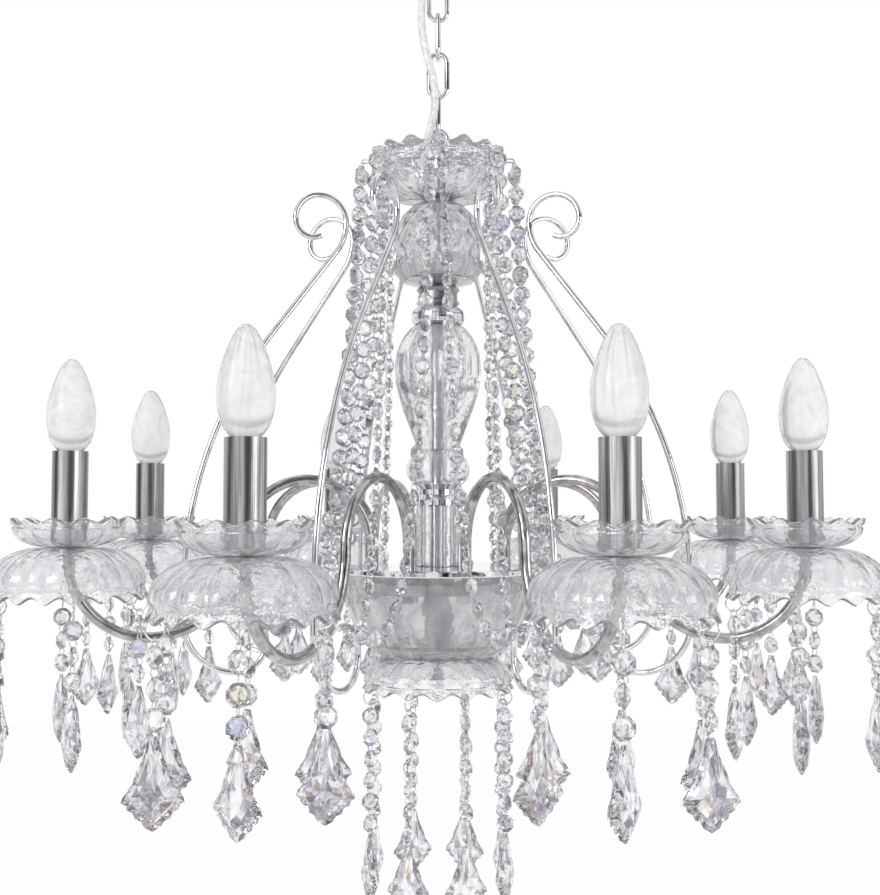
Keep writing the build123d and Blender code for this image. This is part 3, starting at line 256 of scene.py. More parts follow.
# %% [markdown]
# The lamps are blown glass with a thin white coat inside, whose faint swirls show as brighter threads.
# %% Lamp glass
lamp_glass, tree, shader, place = new_material("blown_lamp_glass_frosted")
shader.inputs["Transmission Weight"].default_value = 0.6
shader.inputs["IOR"].default_value = 1.3
shader.inputs["Roughness"].default_value = 0.15
twist = node(tree, "ShaderNodeTexNoise", Vector=(place, "Object"), Scale=38.0, Detail=3.0, Distortion=2.5)
colour_by(tree, shader, (twist, "Fac"), (0.32, "EDEDF0"), (0.5, "FAFAFB"), (0.62, "FFFFFF"))
relief(tree, shader, (twist, "Fac"), 0.1, 0.5)
print("made:", lamp_glass.name)

# %% [markdown]
# The cable has a clear sheath over white wires, and the small fittings are moulded white plastic with a
# fine spark-eroded grain.
# %% Plastics


def moulded_plastic(name, dark, light, roughness, grain_mm):
    """A moulded plastic with a fine grain."""
    material, tree, shader, place = new_material(name)
    grain = noise(tree, place, grain_mm, 2.0)
    colour_by(tree, shader, (grain, "Fac"), (0.3, dark), (0.7, light))
    shader.inputs["Roughness"].default_value = roughness
    relief(tree, shader, (grain, "Fac"), 0.1, 0.2)
    return material


white_plastic = moulded_plastic("moulded_white_nylon", "DCDCD8", "EDEDEA", roughness=0.45, grain_mm=1.0)
cable_sheath = moulded_plastic(
    "extruded_clear_pvc_sheath", "CFCFD3", "F2F2F4", roughness=0.12, grain_mm=3.0
)
print("made:", white_plastic.name, cable_sheath.name)

# %% [markdown]
# Every node gets one finish, and so do the nodes that a finer piece replaces below.
# %% Finish the nodes
FINISHES = (
    (chrome, "canopy_cup canopy_loop top_loop crown_cap neck_ring lower_collar hub_cover_disc finial"),
    (chrome, "arm_nuts scroll_rods chain_link_1 chain_link_2 chain_link_3 chain_link_4"),
    (zinc, "ceiling_bracket canopy_stem stem_nuts hub_body centre_rod"),
    (nickel, "candle_sleeves neck_sleeve"),
    (pressed_glass, "crown_pan column_ball ball_cup baluster_vase base_cylinder lower_pan"),
    (pressed_glass, "bobeche_pans candle_cups"),
    (hub_glass, "hub_bowl"),
    (white_plastic, "cable_bush terminal_block lampholders"),
    (cable_sheath, "supply_cable"),
    (crystal, "crown_strings bobeche_drops"),
)
finish_of = {name: material for material, names in FINISHES for name in names.split()}
for number in range(1, ARMS + 1):
    finish_of[f"arm_{number}"] = arm_chrome_painted_darker
    finish_of[f"bulb_{number}"] = lamp_glass
    finish_of[f"lower_drop_{number}"] = crystal
for name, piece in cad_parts.items():
    piece.data.materials.clear()
    piece.data.materials.append(finish_of[name])
print("finished nodes:", len(finish_of))

# %% [markdown]
# A bead of the strings is a cut octagon about 14 mm across: a small flat table on each side, a ring of
# star facets round it and a thin girdle. The solid only marks its place, so a finer one is modelled once
# and later copied into one mesh for each node. Its rings of eight corners are turned by half a step
# against each other, which makes the star facets.
# %% Bead
BEAD_RADIUS = 7.2
BEAD_HALF_THICKNESS = 3.4
BEAD_TABLE = 0.48
GIRDLE_SHARE = 0.14


def quad_band(shape, ring, ahead):
    """Joins two rings with as many corners by a band of four-sided faces."""
    for index in range(len(ring)):
        after = (index + 1) % len(ring)
        shape.faces.new((ring[index], ring[after], ahead[after], ahead[index]))


def cut_stone(shape, rings):
    """Adds flat facets between rings of corners, where the next ring has as many corners or half."""
    for outer, inner in zip(rings, rings[1:]):
        step = len(outer) // len(inner)
        for index in range(len(inner)):
            here, middle, after = (outer[(step * index + k) % len(outer)] for k in (0, 1, step))
            following = inner[(index + 1) % len(inner)]
            if step == 2:
                shape.faces.new((here, middle, inner[index]))
                shape.faces.new((middle, after, following))
                shape.faces.new((inner[index], middle, following))
            else:
                shape.faces.new((here, after, inner[index]))
                shape.faces.new((inner[index], after, following))


def ring_corners(shape, radius, height, turn, count=8):
    """The corners of a regular ring round Z, turned by that share of a step."""
    angles = [2 * pi * (index + 0.5 + turn) / count for index in range(count)]
    return [shape.verts.new((radius * cos(angle), radius * sin(angle), height)) for angle in angles]


def bead_shape():
    """One cut octagon with its tables along Z, in millimetres round the origin."""
    shape = bmesh.new()
    girdles = []
    for side in (1, -1):
        girdle = ring_corners(shape, BEAD_RADIUS, side * GIRDLE_SHARE * BEAD_HALF_THICKNESS, 0)
        table = ring_corners(shape, BEAD_TABLE * BEAD_RADIUS, side * BEAD_HALF_THICKNESS, 0.5)
        cut_stone(shape, (girdle, table))
        shape.faces.new(table)
        girdles.append(girdle)
    quad_band(shape, *girdles)
    bmesh.ops.recalc_face_normals(shape, faces=shape.faces)
    return shape


bead_pattern = bead_shape()
print("bead facets:", len(bead_pattern.faces))

# %% [markdown]
# The pendant is a leaf of cut crystal, 35 by 52 mm: a narrow neck, two shoulders and a pointed foot with
# a scalloped edge. Three rings of facets step up to a low peak on each side, each with half as many
# corners as the one outside it, so that the small edge facets grow into large ones at the middle.
# %% Leaf pendant
PENDANT_WIDTH = 35.0
PENDANT_HEIGHT = 52.0
PENDANT_HALF_THICKNESS = 5.75
PEAK_DROP = 0.6
# Each corner of the right edge: how wide the leaf is there, and how far down, as shares of its size.
LEAF_EDGE = (
    *((0.13, 0.0), (0.2, 0.08), (0.27, 0.18), (0.43, 0.3), (0.58, 0.41)),
    *((0.62, 0.48), (0.8, 0.57), (0.93, 0.63), (1.0, 0.69), (0.85, 0.72)),
    *((0.8, 0.77), (0.62, 0.8), (0.55, 0.86), (0.36, 0.89), (0.26, 0.95)),
)
# Each ring of facets: its size beside the edge's, its height beside the peak's, and which corners it keeps.
LEAF_RINGS = ((1.0, 0.12, 1), (0.74, 0.66, 2), (0.4, 0.94, 4))


def leaf_shape():
    """One leaf pendant, its top at the origin, its foot down along -Y and its peaks along Z."""
    shape = bmesh.new()
    right = [(across / 2, drop) for across, drop in LEAF_EDGE]
    outline = [(0, 0), *right, (0, 1), *[(-across, drop) for across, drop in reversed(right)]]
    girdles = []
    for side in (1, -1):
        rings = []
        for share, rise, step in LEAF_RINGS:
            height = side * rise * PENDANT_HALF_THICKNESS
            ring = []
            for across, drop in outline[::step]:
                down = PEAK_DROP + share * (drop - PEAK_DROP)
                corner = (share * across * PENDANT_WIDTH, -down * PENDANT_HEIGHT, height)
                ring.append(shape.verts.new(corner))
            rings.append(ring)
        cut_stone(shape, rings)
        peak = shape.verts.new((0, -PEAK_DROP * PENDANT_HEIGHT, side * PENDANT_HALF_THICKNESS))
        for start, end in zip(rings[-1], rings[-1][1:] + rings[-1][:1]):
            shape.faces.new((start, end, peak))
        girdles.append(rings[0])
    quad_band(shape, *girdles)
    bmesh.ops.recalc_face_normals(shape, faces=shape.faces)
    return shape


leaf_pattern = leaf_shape()
print("pendant facets:", len(leaf_pattern.faces))

# %% [markdown]
# Two beads are joined by a small ring of round wire. There are hundreds of them and each is only a few
# pixels wide, so it has few sides.
# %% Jump ring
LINK_RADIUS = 2.5
LINK_WIRE = 0.45
LINK_STEPS = 10
LINK_SIDES = 5


def jump_ring_shape():
    """A small ring of round wire in the YZ plane."""
    shape = bmesh.new()
    loops = []
    for step in range(LINK_STEPS):
        angle = 2 * pi * step / LINK_STEPS
        loop = []
        for side in range(LINK_SIDES):
            tilt = 2 * pi * side / LINK_SIDES
            reach = LINK_RADIUS + LINK_WIRE * cos(tilt)
            loop.append(shape.verts.new((LINK_WIRE * sin(tilt), reach * cos(angle), reach * sin(angle))))
        loops.append(loop)
    for step, loop in enumerate(loops):
        quad_band(shape, loop, loops[(step + 1) % LINK_STEPS])
    bmesh.ops.recalc_face_normals(shape, faces=shape.faces)
    return shape


jump_ring = jump_ring_shape()
print("jump ring faces:", len(jump_ring.faces))

# %% [markdown]
# The places of the crystals are read from the solids: a copy of a node's mesh is merged, and each of its
# separate solids is found by walking along its edges. A bead's solid has 8 corners and a pendant's has
# 15, and their farthest and nearest corners tell which way they hang and face.
# %% Read the crystals' places
BEAD_CORNERS = 8
LEAF_CORNERS = 15
SOLID_PEAK_DROP = 0.66


def solids_of(name):
    """The merged copy of a node's mesh, and its separate solids as lists of vertices."""
    shape = bmesh.new()
    shape.from_mesh(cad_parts[name].data)
    bmesh.ops.remove_doubles(shape, verts=shape.verts, dist=1e-6)
    seen = set()
    solids = []
    for start in shape.verts:
        if start in seen:
            continue
        seen.add(start)
        solid = [start]
        for vertex in solid:
            for edge in vertex.link_edges:
                other = edge.other_vert(vertex)
                if other not in seen:
                    seen.add(other)
                    solid.append(other)
        solids.append(solid)
    return shape, solids


def stance(centre, long_way, thin_way):
    """The matrix of a crystal at that centre: its Y along its length and its Z through its thickness."""
    y = long_way.normalized()
    z = (thin_way - thin_way.dot(y) * y).normalized()
    turn = Matrix((y.cross(z), y, z)).transposed().to_4x4()
    return Matrix.Translation(centre) @ turn


def bead_stance(corners):
    """Where a bead's solid lies, and how far its ends are from its middle."""
    centre = sum(corners, Vector()) / len(corners)
    by_reach = sorted(corners, key=lambda corner: (corner - centre).length)
    long_way = by_reach[-1] - by_reach[-2]
    if long_way.z < 0:
        long_way = -long_way
    return stance(centre, long_way, by_reach[0] - by_reach[1]), long_way.length / 2


def leaf_stance(corners):
    """Where a pendant's solid lies, from the middle of its top."""
    centre = sum(corners, Vector()) / len(corners)
    by_reach = sorted(corners, key=lambda corner: (corner - centre).length)
    top = (by_reach[-1] + by_reach[-2]) / 2
    foot = by_reach[-3]
    peak_place = top.lerp(foot, SOLID_PEAK_DROP)
    front, back = sorted(corners, key=lambda corner: (corner - peak_place).length)[:2]
    return stance(top, top - foot, front - back)


sample, sample_solids = solids_of("bobeche_drops")
print("solids in the drops of the pans:", len(sample_solids))
sample.free()

# %% [markdown]
# Each facet gets one of a few colours by a seeded draw. Most are clear, and the darker ones are painted
# reflections of the parts of the studio that a deep facet mirrors. A few are painted sparks: small blue and
# yellow flashes on the beads, tan and lilac ones on the pendants.
# A bead hangs by its wire alone, so each one is also turned a little about its length.
# %% Cut the crystals
# Painted reflections and painted sparks for the facets of the beads and the pendants.
BEAD_PAINTED_REFLECTIONS = ("FFFFFF",) * 24 + ("EDEDF2",) * 8 + ("CFCED6",) * 6 + ("94939C",) * 3 + ("EEE6C4", "C6CCF2")
LEAF_PAINTED_REFLECTIONS = ("FFFFFF",) * 18 + ("E9E7EE",) * 8 + ("BFBDC6",) * 6 + ("8D8B95",) * 3 + ("CDB098", "D9D0E8")
MOST_BEAD_TURN = 0.5
draw = random.Random(8)


def add_copy(target, pattern, matrix):
    """Copies a pattern, whose corners are in millimetres, into the target mesh."""
    copies = {vertex: target.verts.new(matrix @ (vertex.co * MM)) for vertex in pattern.verts}
    return [target.faces.new([copies[vertex] for vertex in face.verts]) for face in pattern.faces]


def finished_piece(name, shape, material):
    """Makes a piece of a mesh and gives it its finish."""
    mesh = bpy.data.meshes.new(name)
    shape.to_mesh(mesh)
    shape.free()
    mesh.materials.append(material)
    piece = bpy.data.objects.new(name, mesh)
    bpy.context.scene.collection.objects.link(piece)
    return piece


def riding_piece(name, shape, material, body, smooth=False):
    """A finished piece on the body that it moves with."""
    piece = finished_piece(name, shape, material)
    if smooth:
        faces = piece.data.polygons
        faces.foreach_set("use_smooth", [True] * len(faces))
    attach(piece, body)
    return piece


def paint_facet_reflections(target, faces, reflection_choices):
    """Draws one painted reflection for each facet and writes its colour at the facet's corners."""
    layer = target.loops.layers.float_color.get("facet_painted_reflection")
    for face in faces:
        tint = linear(draw.choice(reflection_choices))
        for corner in face.loops:
            corner[layer] = tint


def cut_crystals(name, body):
    """Replaces the crystals of a node by cut ones, and its rings and pins by bright wire."""
    shape, solids = solids_of(name)
    stones = bmesh.new()
    stones.loops.layers.float_color.new("facet_painted_reflection")
    links = bmesh.new()
    beads = pendants = 0
    spent = []
    for solid in solids:
        corners = [vertex.co.copy() for vertex in solid]
        if len(solid) == BEAD_CORNERS:
            matrix, reach = bead_stance(corners)
            turned = matrix @ Matrix.Rotation(draw.uniform(-MOST_BEAD_TURN, MOST_BEAD_TURN), 4, "Y")
            paint_facet_reflections(stones, add_copy(stones, bead_pattern, turned), BEAD_PAINTED_REFLECTIONS)
            add_copy(links, jump_ring, turned @ Matrix.Translation((0, reach, 0)))
            beads += 1
            spent.extend(solid)
        elif len(solid) == LEAF_CORNERS:
            paint_facet_reflections(stones, add_copy(stones, leaf_pattern, leaf_stance(corners)), LEAF_PAINTED_REFLECTIONS)
            pendants += 1
            spent.extend(solid)
    bmesh.ops.delete(shape, geom=spent, context="VERTS")
    wires = riding_piece(name + "_wires", shape, chrome, body, smooth=True)
    riding_piece(name + "_links", links, chrome, body, smooth=True)
    stone_piece = riding_piece(name + "_crystals", stones, crystal, body)
    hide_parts(name)
    print(name, "beads:", beads, "pendants:", pendants)


cut_crystals("crown_strings", "chandelier")
cut_crystals("bobeche_drops", "chandelier")
for number in range(1, ARMS + 1):
    cut_crystals(f"lower_drop_{number}", f"lower_drop_{number}")

# %% [markdown]
# The pans are pressed in a mould: a low dome with leaf-shaped flutes that run out from the neck, and a
# thin skirt whose edge waves up and down. A circle is drawn out ring by ring along the profile, then its
# points are sunk between the leaves and moved up and down at the rim, and Solidify gives it its wall.
# Crease is the angle, in degrees, from which an edge of the glass stays sharp.
# %% Fluted glass
POINTS_PER_LOBE = 8
DOME_STEPS = 10
SKIRT_STEPS = 5
DOME_DEPTH = 0.68
DOME_RIM = 0.985
NECK_RINGS = (0.3, 0.8)
SKIRT_TUCK = 0.035
TUCK_END = 1.1
SKIRT_FLARE = 0.01
LEAF_END = 0.8
LEAF_FULLNESS = 0.7
WAVE_START = 0.8
WAVE_OUTWARD = 0.35


def pan_profile(rim, neck, depth, wave, flare):
    """The radius and height of each ring of a pan, from its neck over its dome and down its skirt."""
    dome = DOME_DEPTH * depth
    profile = [(neck * share, 0.0) for share in NECK_RINGS]
    for step in range(DOME_STEPS + 1):
        angle = radians(90 * step / DOME_STEPS)
        profile.append((neck + (rim * DOME_RIM - neck) * sin(angle), -dome * (1 - cos(angle))))
    for step in range(1, SKIRT_STEPS + 1):
        share = step / SKIRT_STEPS
        tuck = SKIRT_FLARE * rim * share * flare - SKIRT_TUCK * rim * sin(pi * min(1.0, share * TUCK_END))
        profile.append((rim * DOME_RIM + tuck, -dome - (depth - wave - dome) * share))
    return profile


def fluted_pan(rim, neck, depth, lobes, flute, wave, flare=1.0):
    """A pan that opens down from height 0, with flutes that deep and a rim that waves up and down."""
    shape = bmesh.new()
    count = lobes * POINTS_PER_LOBE
    profile = pan_profile(rim, neck, depth, wave, flare)
    rings = []
    for index, (radius, height) in enumerate(profile):
        along = index / (len(profile) - 1)
        leaf_depth = flute * max(0.0, sin(pi * min(1.0, along / LEAF_END))) ** LEAF_FULLNESS
        waving = max(0.0, (along - WAVE_START) / (1 - WAVE_START))
        ring = []
        for point in range(count):
            angle = 2 * pi * point / count
            sink = leaf_depth * (1 - abs(sin(lobes * angle / 2)))
            crest = wave * cos(lobes * angle)
            reach = radius - sink + crest * WAVE_OUTWARD * waving
            lift = crest * waving**2
            ring.append(shape.verts.new((reach * cos(angle), reach * sin(angle), height - lift)))
        rings.append(ring)
    for inner, outer in zip(rings, rings[1:]):
        for point in range(count):
            after = (point + 1) % count
            shape.faces.new((inner[point], outer[point], outer[after], inner[after]))
    bmesh.ops.recalc_face_normals(shape, faces=shape.faces)
    return shape


def deselect():
    """Leaves nothing selected, because an operator acts on all that is."""
    bpy.ops.object.select_all(action="DESELECT")


def glass_piece(name, shape, places, wall, upturned=False, material=pressed_glass, crease=50):
    """Places copies of a pan or bowl, each at a place and a turn, and gives them their wall."""
    flip = Matrix.Rotation(pi, 4, "X") if upturned else Matrix.Identity(4)
    copies = bmesh.new()
    for place, turn in places:
        matrix = Matrix.Translation(place) @ Matrix.Rotation(turn, 4, "Z") @ flip
        add_copy(copies, shape, matrix)
    shape.free()
    bmesh.ops.recalc_face_normals(copies, faces=copies.faces)
    piece = riding_piece(name, copies, material, "chandelier", smooth=True)
    solidify = piece.modifiers.new("wall", "SOLIDIFY")
    solidify.thickness = wall * MM
    solidify.offset = -1
    deselect()
    bpy.context.view_layer.objects.active = piece
    piece.select_set(True)
    bpy.ops.object.modifier_apply(modifier="wall")
    bpy.ops.object.shade_smooth_by_angle(angle=radians(crease))
    deselect()
    return piece


CANDLE_OFFSET = 290 * MM
PAN_TURN = pi / 18
pan_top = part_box("bobeche_pans")[1].z
arm_turns = [radians(FIRST_ARM + 360 * number / ARMS) for number in range(ARMS)]
pan_places = [
    (Vector((CANDLE_OFFSET * cos(turn), CANDLE_OFFSET * sin(turn), pan_top)), turn + PAN_TURN)
    for turn in arm_turns
]
pan = fluted_pan(rim=57, neck=20, depth=37.4, lobes=18, flute=3.2, wave=2.6)
bobeche = glass_piece("bobeche_glass", pan, pan_places, wall=2.6)
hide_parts("bobeche_pans")
cup = fluted_pan(rim=40.4, neck=14, depth=20.8, lobes=12, flute=2.4, wave=2.4, flare=2.0)
cups = glass_piece("candle_cup_glass", cup, pan_places, wall=2.2, upturned=True)
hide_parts("candle_cups")
crown_foot = Vector((0, 0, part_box("crown_pan")[0].z))
crown_shape = fluted_pan(rim=57, neck=20, depth=39.8, lobes=16, flute=4.0, wave=2.8)
crown = glass_piece("crown_glass", crown_shape, [(crown_foot, 0)], wall=2.6, upturned=True, crease=9)
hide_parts("crown_pan")
lower_top = Vector((0, 0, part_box("lower_pan")[1].z))
lower_shape = fluted_pan(rim=59.5, neck=20, depth=28.8, lobes=16, flute=3.0, wave=2.2)
lower = glass_piece("lower_pan_glass", lower_shape, [(lower_top, 0)], wall=2.4, crease=14)
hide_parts("lower_pan")
print("pans:", len(bobeche.data.polygons), "faces in the bobeches,", len(cups.data.polygons), "in the cups")

# %% [markdown]
# The ball of the column is a hollow shell, cut all over with flat diamonds. Each ring of corners is turned
# half a step against the one before, which gives the diamonds, and the rings run up the outside, over the
# flat rim of the bore and down the inside, so that the shell closes on itself.
# %% Cut ball
BALL_CORNERS = 14
BALL_RINGS = 9
BALL_WALL = 4.0
BALL_BORE = 7.5
ball_low, ball_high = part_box("column_ball")
ball_radius = ball_high.x / MM
ball_middle = (ball_low.z + ball_high.z) / 2 / MM
ball_reach = (ball_high.z - ball_low.z) / 2 / MM
ball_shells = ((ball_radius, ball_reach, 1), (ball_radius - BALL_WALL, ball_reach - BALL_WALL, -1))
ball = bmesh.new()
ball_profile = []
for radius, top, direction in ball_shells:
    for step in range(BALL_RINGS):
        latitude = asin(top / radius) * direction * (2 * step / (BALL_RINGS - 1) - 1)
        ball_profile.append((max(BALL_BORE, radius * cos(latitude)), ball_middle + radius * sin(latitude)))
rings = [
    ring_corners(ball, radius * MM, height * MM, 0.5 * number, BALL_CORNERS)
    for number, (radius, height) in enumerate(ball_profile)
]
half_round = len(rings) // 2
rings.append(rings[0][half_round:] + rings[0][:half_round])
cut_stone(ball, rings)
bmesh.ops.recalc_face_normals(ball, faces=ball.faces)
ball_piece = riding_piece("column_ball_cut", ball, pressed_glass, "chandelier")
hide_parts("column_ball")
print("ball facets:", len(ball_piece.data.polygons))

# %% [markdown]
# The bowl of the hub is smooth and clear, so the pipes inside show, and only its foot is cut: a star of
# long leaves that runs out from the middle of the floor and a little way up the wall. Its profile gives
# each ring its radius and its depth as a share of the whole, out over the floor and then up the wall.
# %% Hub bowl
STAR_LEAVES = 24
STAR_POINTS = 8
STAR_DEPTH = 3.4
STAR_END = 0.55
STAR_FULLNESS = 0.8
BOWL_RADIUS = 78.0
BOWL_WALL = 5.0
BOWL_BORE = 8.0
BOWL_FLOOR_RADIUS = 46.0
BOWL_SHOULDER = 0.86
BOWL_DRAW = 0.21
FLOOR_RINGS = (0.5, 0.9)
FOOT_STEPS = 4
WALL_STEPS = 11
bowl_low, bowl_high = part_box("hub_bowl")
bowl_depth = (bowl_high.z - bowl_low.z) / MM
bowl_top = Vector((0, 0, bowl_high.z))
wall_foot = BOWL_RADIUS * (1 - BOWL_DRAW)
profile = [(BOWL_BORE, 1.0), *[(BOWL_FLOOR_RADIUS * share, 1.0) for share in FLOOR_RINGS]]
for step in range(FOOT_STEPS):
    share = step / FOOT_STEPS
    reach = BOWL_FLOOR_RADIUS + (wall_foot - BOWL_FLOOR_RADIUS) * share
    profile.append((reach, 1 - (1 - BOWL_SHOULDER) * share))
for step in range(WALL_STEPS + 1):
    share = BOWL_SHOULDER * (1 - step / WALL_STEPS)
    profile.append((BOWL_RADIUS * (1 - BOWL_DRAW * (share / BOWL_SHOULDER) ** 2), share))
bowl = bmesh.new()
rings = []
for index, (radius, drop) in enumerate(profile):
    along = index / (len(profile) - 1)
    cut = STAR_DEPTH * max(0.0, sin(pi * min(1.0, along / STAR_END))) ** STAR_FULLNESS
    ring = []
    for point in range(STAR_LEAVES * STAR_POINTS):
        angle = 2 * pi * point / (STAR_LEAVES * STAR_POINTS)
        sink = cut * (1 - abs(sin(STAR_LEAVES * angle / 2)))
        lift = sink if radius < BOWL_FLOOR_RADIUS else 0
        reach = radius - (sink if radius > BOWL_FLOOR_RADIUS else 0)
        ring.append(bowl.verts.new((reach * cos(angle), reach * sin(angle), lift - drop * bowl_depth)))
    rings.append(ring)
cut_stone(bowl, rings)
bowl_piece = glass_piece(
    "hub_bowl_glass", bowl, [(bowl_top, 0)], wall=BOWL_WALL, material=hub_glass, crease=20
)
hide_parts("hub_bowl")
print("hub bowl:", len(bowl_piece.data.polygons), "faces")

# %% [markdown]
# The supply cable leaves the canopy beside the chain, crosses in front of the lower links and goes into the
# gland of the crown's cap. Its line is a smooth spline through listed points. It hangs beside the five
# joints of the chain, so its tube is cut into five lengths, one for each joint.
# %% Supply cable
CABLE_RADIUS = 3.2 * MM
CABLE_SIDES = 16
CHAIN_BODIES = ("ceiling_fitting", *[f"chain_link_{number}" for number in (4, 3, 2, 1)], "chandelier")
CABLE_POINTS = (
    (-16, 0, -40.3),
    (-16, 0, -58),
    (-12.6, -4.5, -82),
    (-14.4, -10, -108),
    (-11.6, -13, -133),
    (-4.5, -13.8, -158),
    (-1.2, -14, -182),
    (-5.5, -12.5, -203),
    (-12.5, -6.25, -222),
    (-12.5, -6.25, -238.36),
)


def smooth_line(points):
    """The places along a smooth open spline whose control points are in millimetres."""
    curve = bpy.data.curves.new("cable_route", "CURVE")
    curve.dimensions = "3D"
    curve.resolution_u = 32
    spline = curve.splines.new("NURBS")
    spline.points.add(len(points) - 1)
    for point, place in zip(spline.points, points):
        point.co = (*(Vector(place) * MM), 1)
    spline.order_u = 3
    spline.use_endpoint_u = True
    route = bpy.data.objects.new("cable_route", curve)
    line = [vertex.co.copy() for vertex in bpy.data.meshes.new_from_object(route).vertices]
    bpy.data.objects.remove(route)
    return line


def length_of(line):
    """The length of a line, in metres."""
    return sum((after - before).length for before, after in zip(line, line[1:]))


def round_sections(line, radius, sides):
    """The corners of a round section at each place of a line, with no twist along it."""
    sections = []
    side = Vector((1, 0, 0))
    for index, place in enumerate(line):
        along = (line[min(index + 1, len(line) - 1)] - line[max(index - 1, 0)]).normalized()
        side = (side - side.dot(along) * along).normalized()
        turned = along.cross(side)
        angles = [2 * pi * corner / sides for corner in range(sides)]
        sections.append([place + radius * (cos(angle) * side + sin(angle) * turned) for angle in angles])
    return sections


def tube_piece(name, sections, material):
    """A closed smooth tube through the sections."""
    shape = bmesh.new()
    rings = [[shape.verts.new(corner) for corner in section] for section in sections]
    for ring, ahead in zip(rings, rings[1:]):
        quad_band(shape, ring, ahead)
    shape.faces.new(rings[0])
    shape.faces.new(rings[-1])
    bmesh.ops.recalc_face_normals(shape, faces=shape.faces)
    piece = finished_piece(name, shape, material)
    faces = piece.data.polygons
    faces.foreach_set("use_smooth", [len(face.vertices) == 4 for face in faces])
    return piece


cable_line = smooth_line(CABLE_POINTS)
cable_length = length_of(cable_line)
sections = round_sections(cable_line, CABLE_RADIUS, CABLE_SIDES)
joints_passed = len(CHAIN_BODIES) - 1
gone = [length_of(cable_line[: index + 1]) for index in range(len(cable_line))]
cuts = [
    min(range(len(gone)), key=lambda index: abs(gone[index] - cable_length * cut / joints_passed))
    for cut in range(joints_passed + 1)
]
for number, (first, last) in enumerate(zip(cuts, cuts[1:])):
    stretch = cable_line[first : last + 1]
    cable = tube_piece(f"supply_cable_length_{number + 1}", sections[first : last + 1], cable_sheath)
    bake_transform(cable)
    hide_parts("supply_cable")
print("cable length:", round(cable_length, 4), "in", joints_passed, "lengths")

# %% [markdown]
# Under the chandelier lies a plain pale floor, far enough down for a room. It glows a little for the
# camera and in what the glass and metal show of it, so that it meets the white surround without an edge,
# and it still takes the object's shadow.
# %% Floor
FLOOR_Z = -2.0
FLOOR_SIDE = 14
FLOOR_WHITENING = 0.94
deselect()
bpy.ops.mesh.primitive_plane_add(size=FLOOR_SIDE, location=(0, 0, FLOOR_Z))
floor = bpy.context.object
floor.name = "studio_floor"
floor_paint, tree, shader, place = new_material("matt_white_floor")
shader.inputs["Base Color"].default_value = linear("F4F4F4")
shader.inputs["Roughness"].default_value = 0.8
glow = node(tree, "ShaderNodeEmission", Color=(1, 1, 1, 1), Strength=1.0)
rays = node(tree, "ShaderNodeLightPath")
seen = node(tree, "ShaderNodeMath", i0=(rays, "Is Camera Ray"), i1=(rays, "Is Glossy Ray"))
seen = node(tree, "ShaderNodeMath", {"use_clamp": True}, i0=(seen, 0), i1=(rays, "Is Transmission Ray"))
whitening = node(tree, "ShaderNodeMath", {"operation": "MULTIPLY"}, i0=(seen, 0), i1=FLOOR_WHITENING)
blend = node(tree, "ShaderNodeMixShader", Fac=(whitening, 0), i1=(shader, "BSDF"), i2=(glow, "Emission"))
tree.links.new(blend.outputs[0], tree.nodes["Material Output"].inputs["Surface"])
floor.data.materials.append(floor_paint)
deselect()
print("floor:", FLOOR_SIDE, "m wide,", -FLOOR_Z, "m under the ceiling")

# %% [markdown]
# The surround is a soft white studio, and the camera sees it plain. Clear glass shows only by the dark
# edges it bends, and metal only by what it mirrors, so for them the surround also has upright cards, as a
# studio for glassware has: narrow dark and grey ones for the glass, and broader ones for the metal. Those
# fade to grey overhead, because a level plate would mirror a whole dark card. A grey band above them all
# gives the tops of round things an edge. Each ramp goes once round, or from straight down to straight up.
# %% Surround
WHITE = "FFFFFF"
DARK_CARD = "151518"
GREY_CARD = "84848A"
world = bpy.data.worlds.new("studio")
bpy.context.scene.world = world
world.use_nodes = True
tree = world.node_tree
background = tree.nodes["Background"]
direction = node(tree, "ShaderNodeTexCoord")
axes = node(tree, "ShaderNodeSeparateXYZ", Vector=(direction, "Generated"))
around = node(tree, "ShaderNodeMath", {"operation": "ARCTAN2"}, i0=(axes, "X"), i1=(axes, "Y"))
turn = node(tree, "ShaderNodeMath", {"operation": "MULTIPLY_ADD"}, i0=(around, 0), i1=0.5 / pi, i2=0.5)
height = node(tree, "ShaderNodeMath", {"operation": "MULTIPLY_ADD"}, i0=(axes, "Z"), i1=0.5, i2=0.5)
for_glass = ramp(
    tree,
    (turn, 0),
    *((0.2, WHITE), (0.21, GREY_CARD), (0.25, DARK_CARD), (0.27, WHITE)),
    *((0.4, WHITE), (0.41, GREY_CARD), (0.42, GREY_CARD), (0.43, WHITE)),
    *((0.72, WHITE), (0.73, GREY_CARD), (0.76, DARK_CARD), (0.78, WHITE)),
    *((0.92, WHITE), (0.93, GREY_CARD), (0.94, GREY_CARD), (0.95, WHITE)),
)
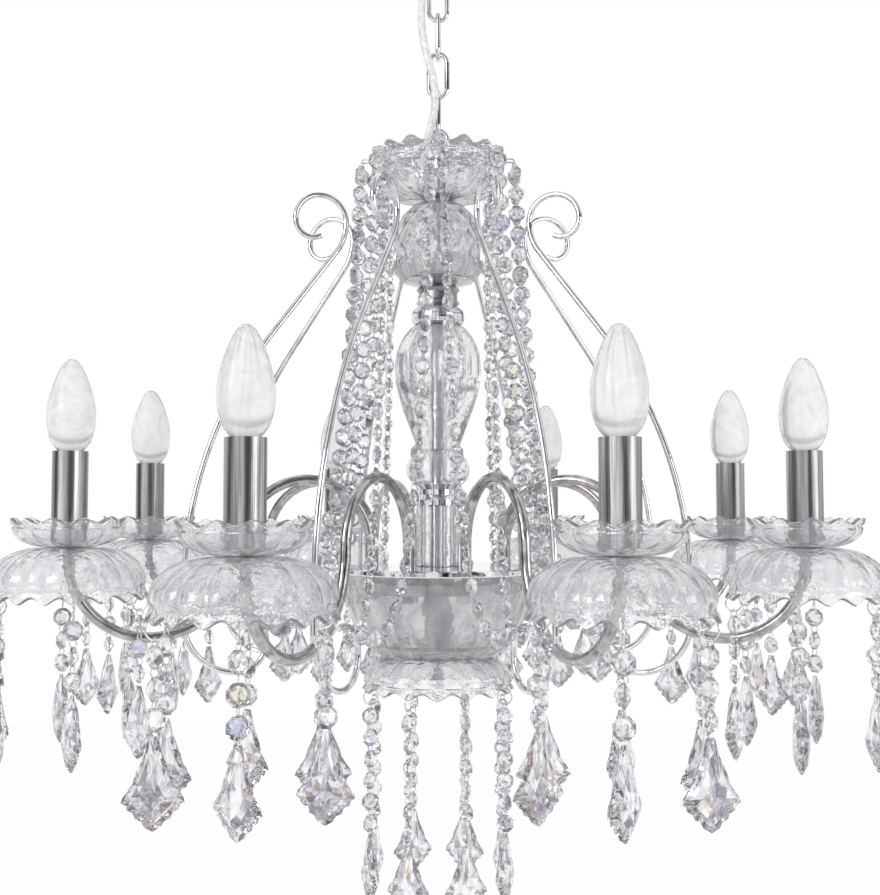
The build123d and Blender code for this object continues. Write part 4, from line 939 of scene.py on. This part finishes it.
for_metal = ramp(
    tree,
    (turn, 0),
    *((0.17, WHITE), (0.19, DARK_CARD), (0.26, DARK_CARD), (0.28, WHITE)),
    *((0.6, WHITE), (0.61, GREY_CARD), (0.64, GREY_CARD), (0.65, WHITE)),
    *((0.83, WHITE), (0.85, DARK_CARD), (0.98, DARK_CARD), (1.0, WHITE)),
)
level = ramp(tree, (height, 0), (0.62, WHITE), (0.65, GREY_CARD), (0.68, GREY_CARD), (0.7, WHITE))
overhead = ramp(tree, (height, 0), (0.54, DARK_CARD), (0.58, GREY_CARD))
rays = node(tree, "ShaderNodeLightPath")


def mixed_colour(blend, factor, first, second):
    """Two colours of the surround, blended."""
    settings = {"data_type": "RGBA", "blend_type": blend}
    return node(tree, "ShaderNodeMix", settings, i0=factor, i6=first, i7=second), 2


faded = mixed_colour("LIGHTEN", 1.0, (for_metal, "Color"), (overhead, "Color"))
upright = mixed_colour("MIX", (rays, "Is Glossy Ray"), (for_glass, "Color"), faded)
cards = mixed_colour("MULTIPLY", 1.0, upright, (level, "Color"))
shown = mixed_colour("MIX", (rays, "Is Camera Ray"), cards, linear(WHITE))
tree.links.new(shown[0].outputs[2], background.inputs["Color"])
background.inputs["Strength"].default_value = 1.0
bpy.context.scene.view_settings.view_transform = "Standard"
print("surround:", len(tree.nodes), "nodes")

# %% [markdown]
# Two large lamps, left and right of the camera, face the middle of the chandelier. The left one is the
# stronger, which gives the glass a light side and a shaded side.
# %% Lamps
LAMP_SIDE = 0.9
LAMP_TARGET = Vector((0, 0, -0.5))


def soft_lamp(name, power, place):
    """A large square lamp that faces the target."""
    data = bpy.data.lights.new(name, "AREA")
    data.size = LAMP_SIDE
    data.energy = power
    lamp = bpy.data.objects.new(name, data)
    bpy.context.scene.collection.objects.link(lamp)
    lamp.location = place
    lamp.rotation_euler = (LAMP_TARGET - Vector(place)).to_track_quat("-Z", "Y").to_euler()
    return lamp


key_lamp = soft_lamp("key_lamp", power=14, place=(-1.4, -1.5, 0.3))
fill_lamp = soft_lamp("fill_lamp", power=8, place=(1.6, -1.2, -0.2))
print("lamps:", key_lamp.data.energy, "W and", fill_lamp.data.energy, "W")
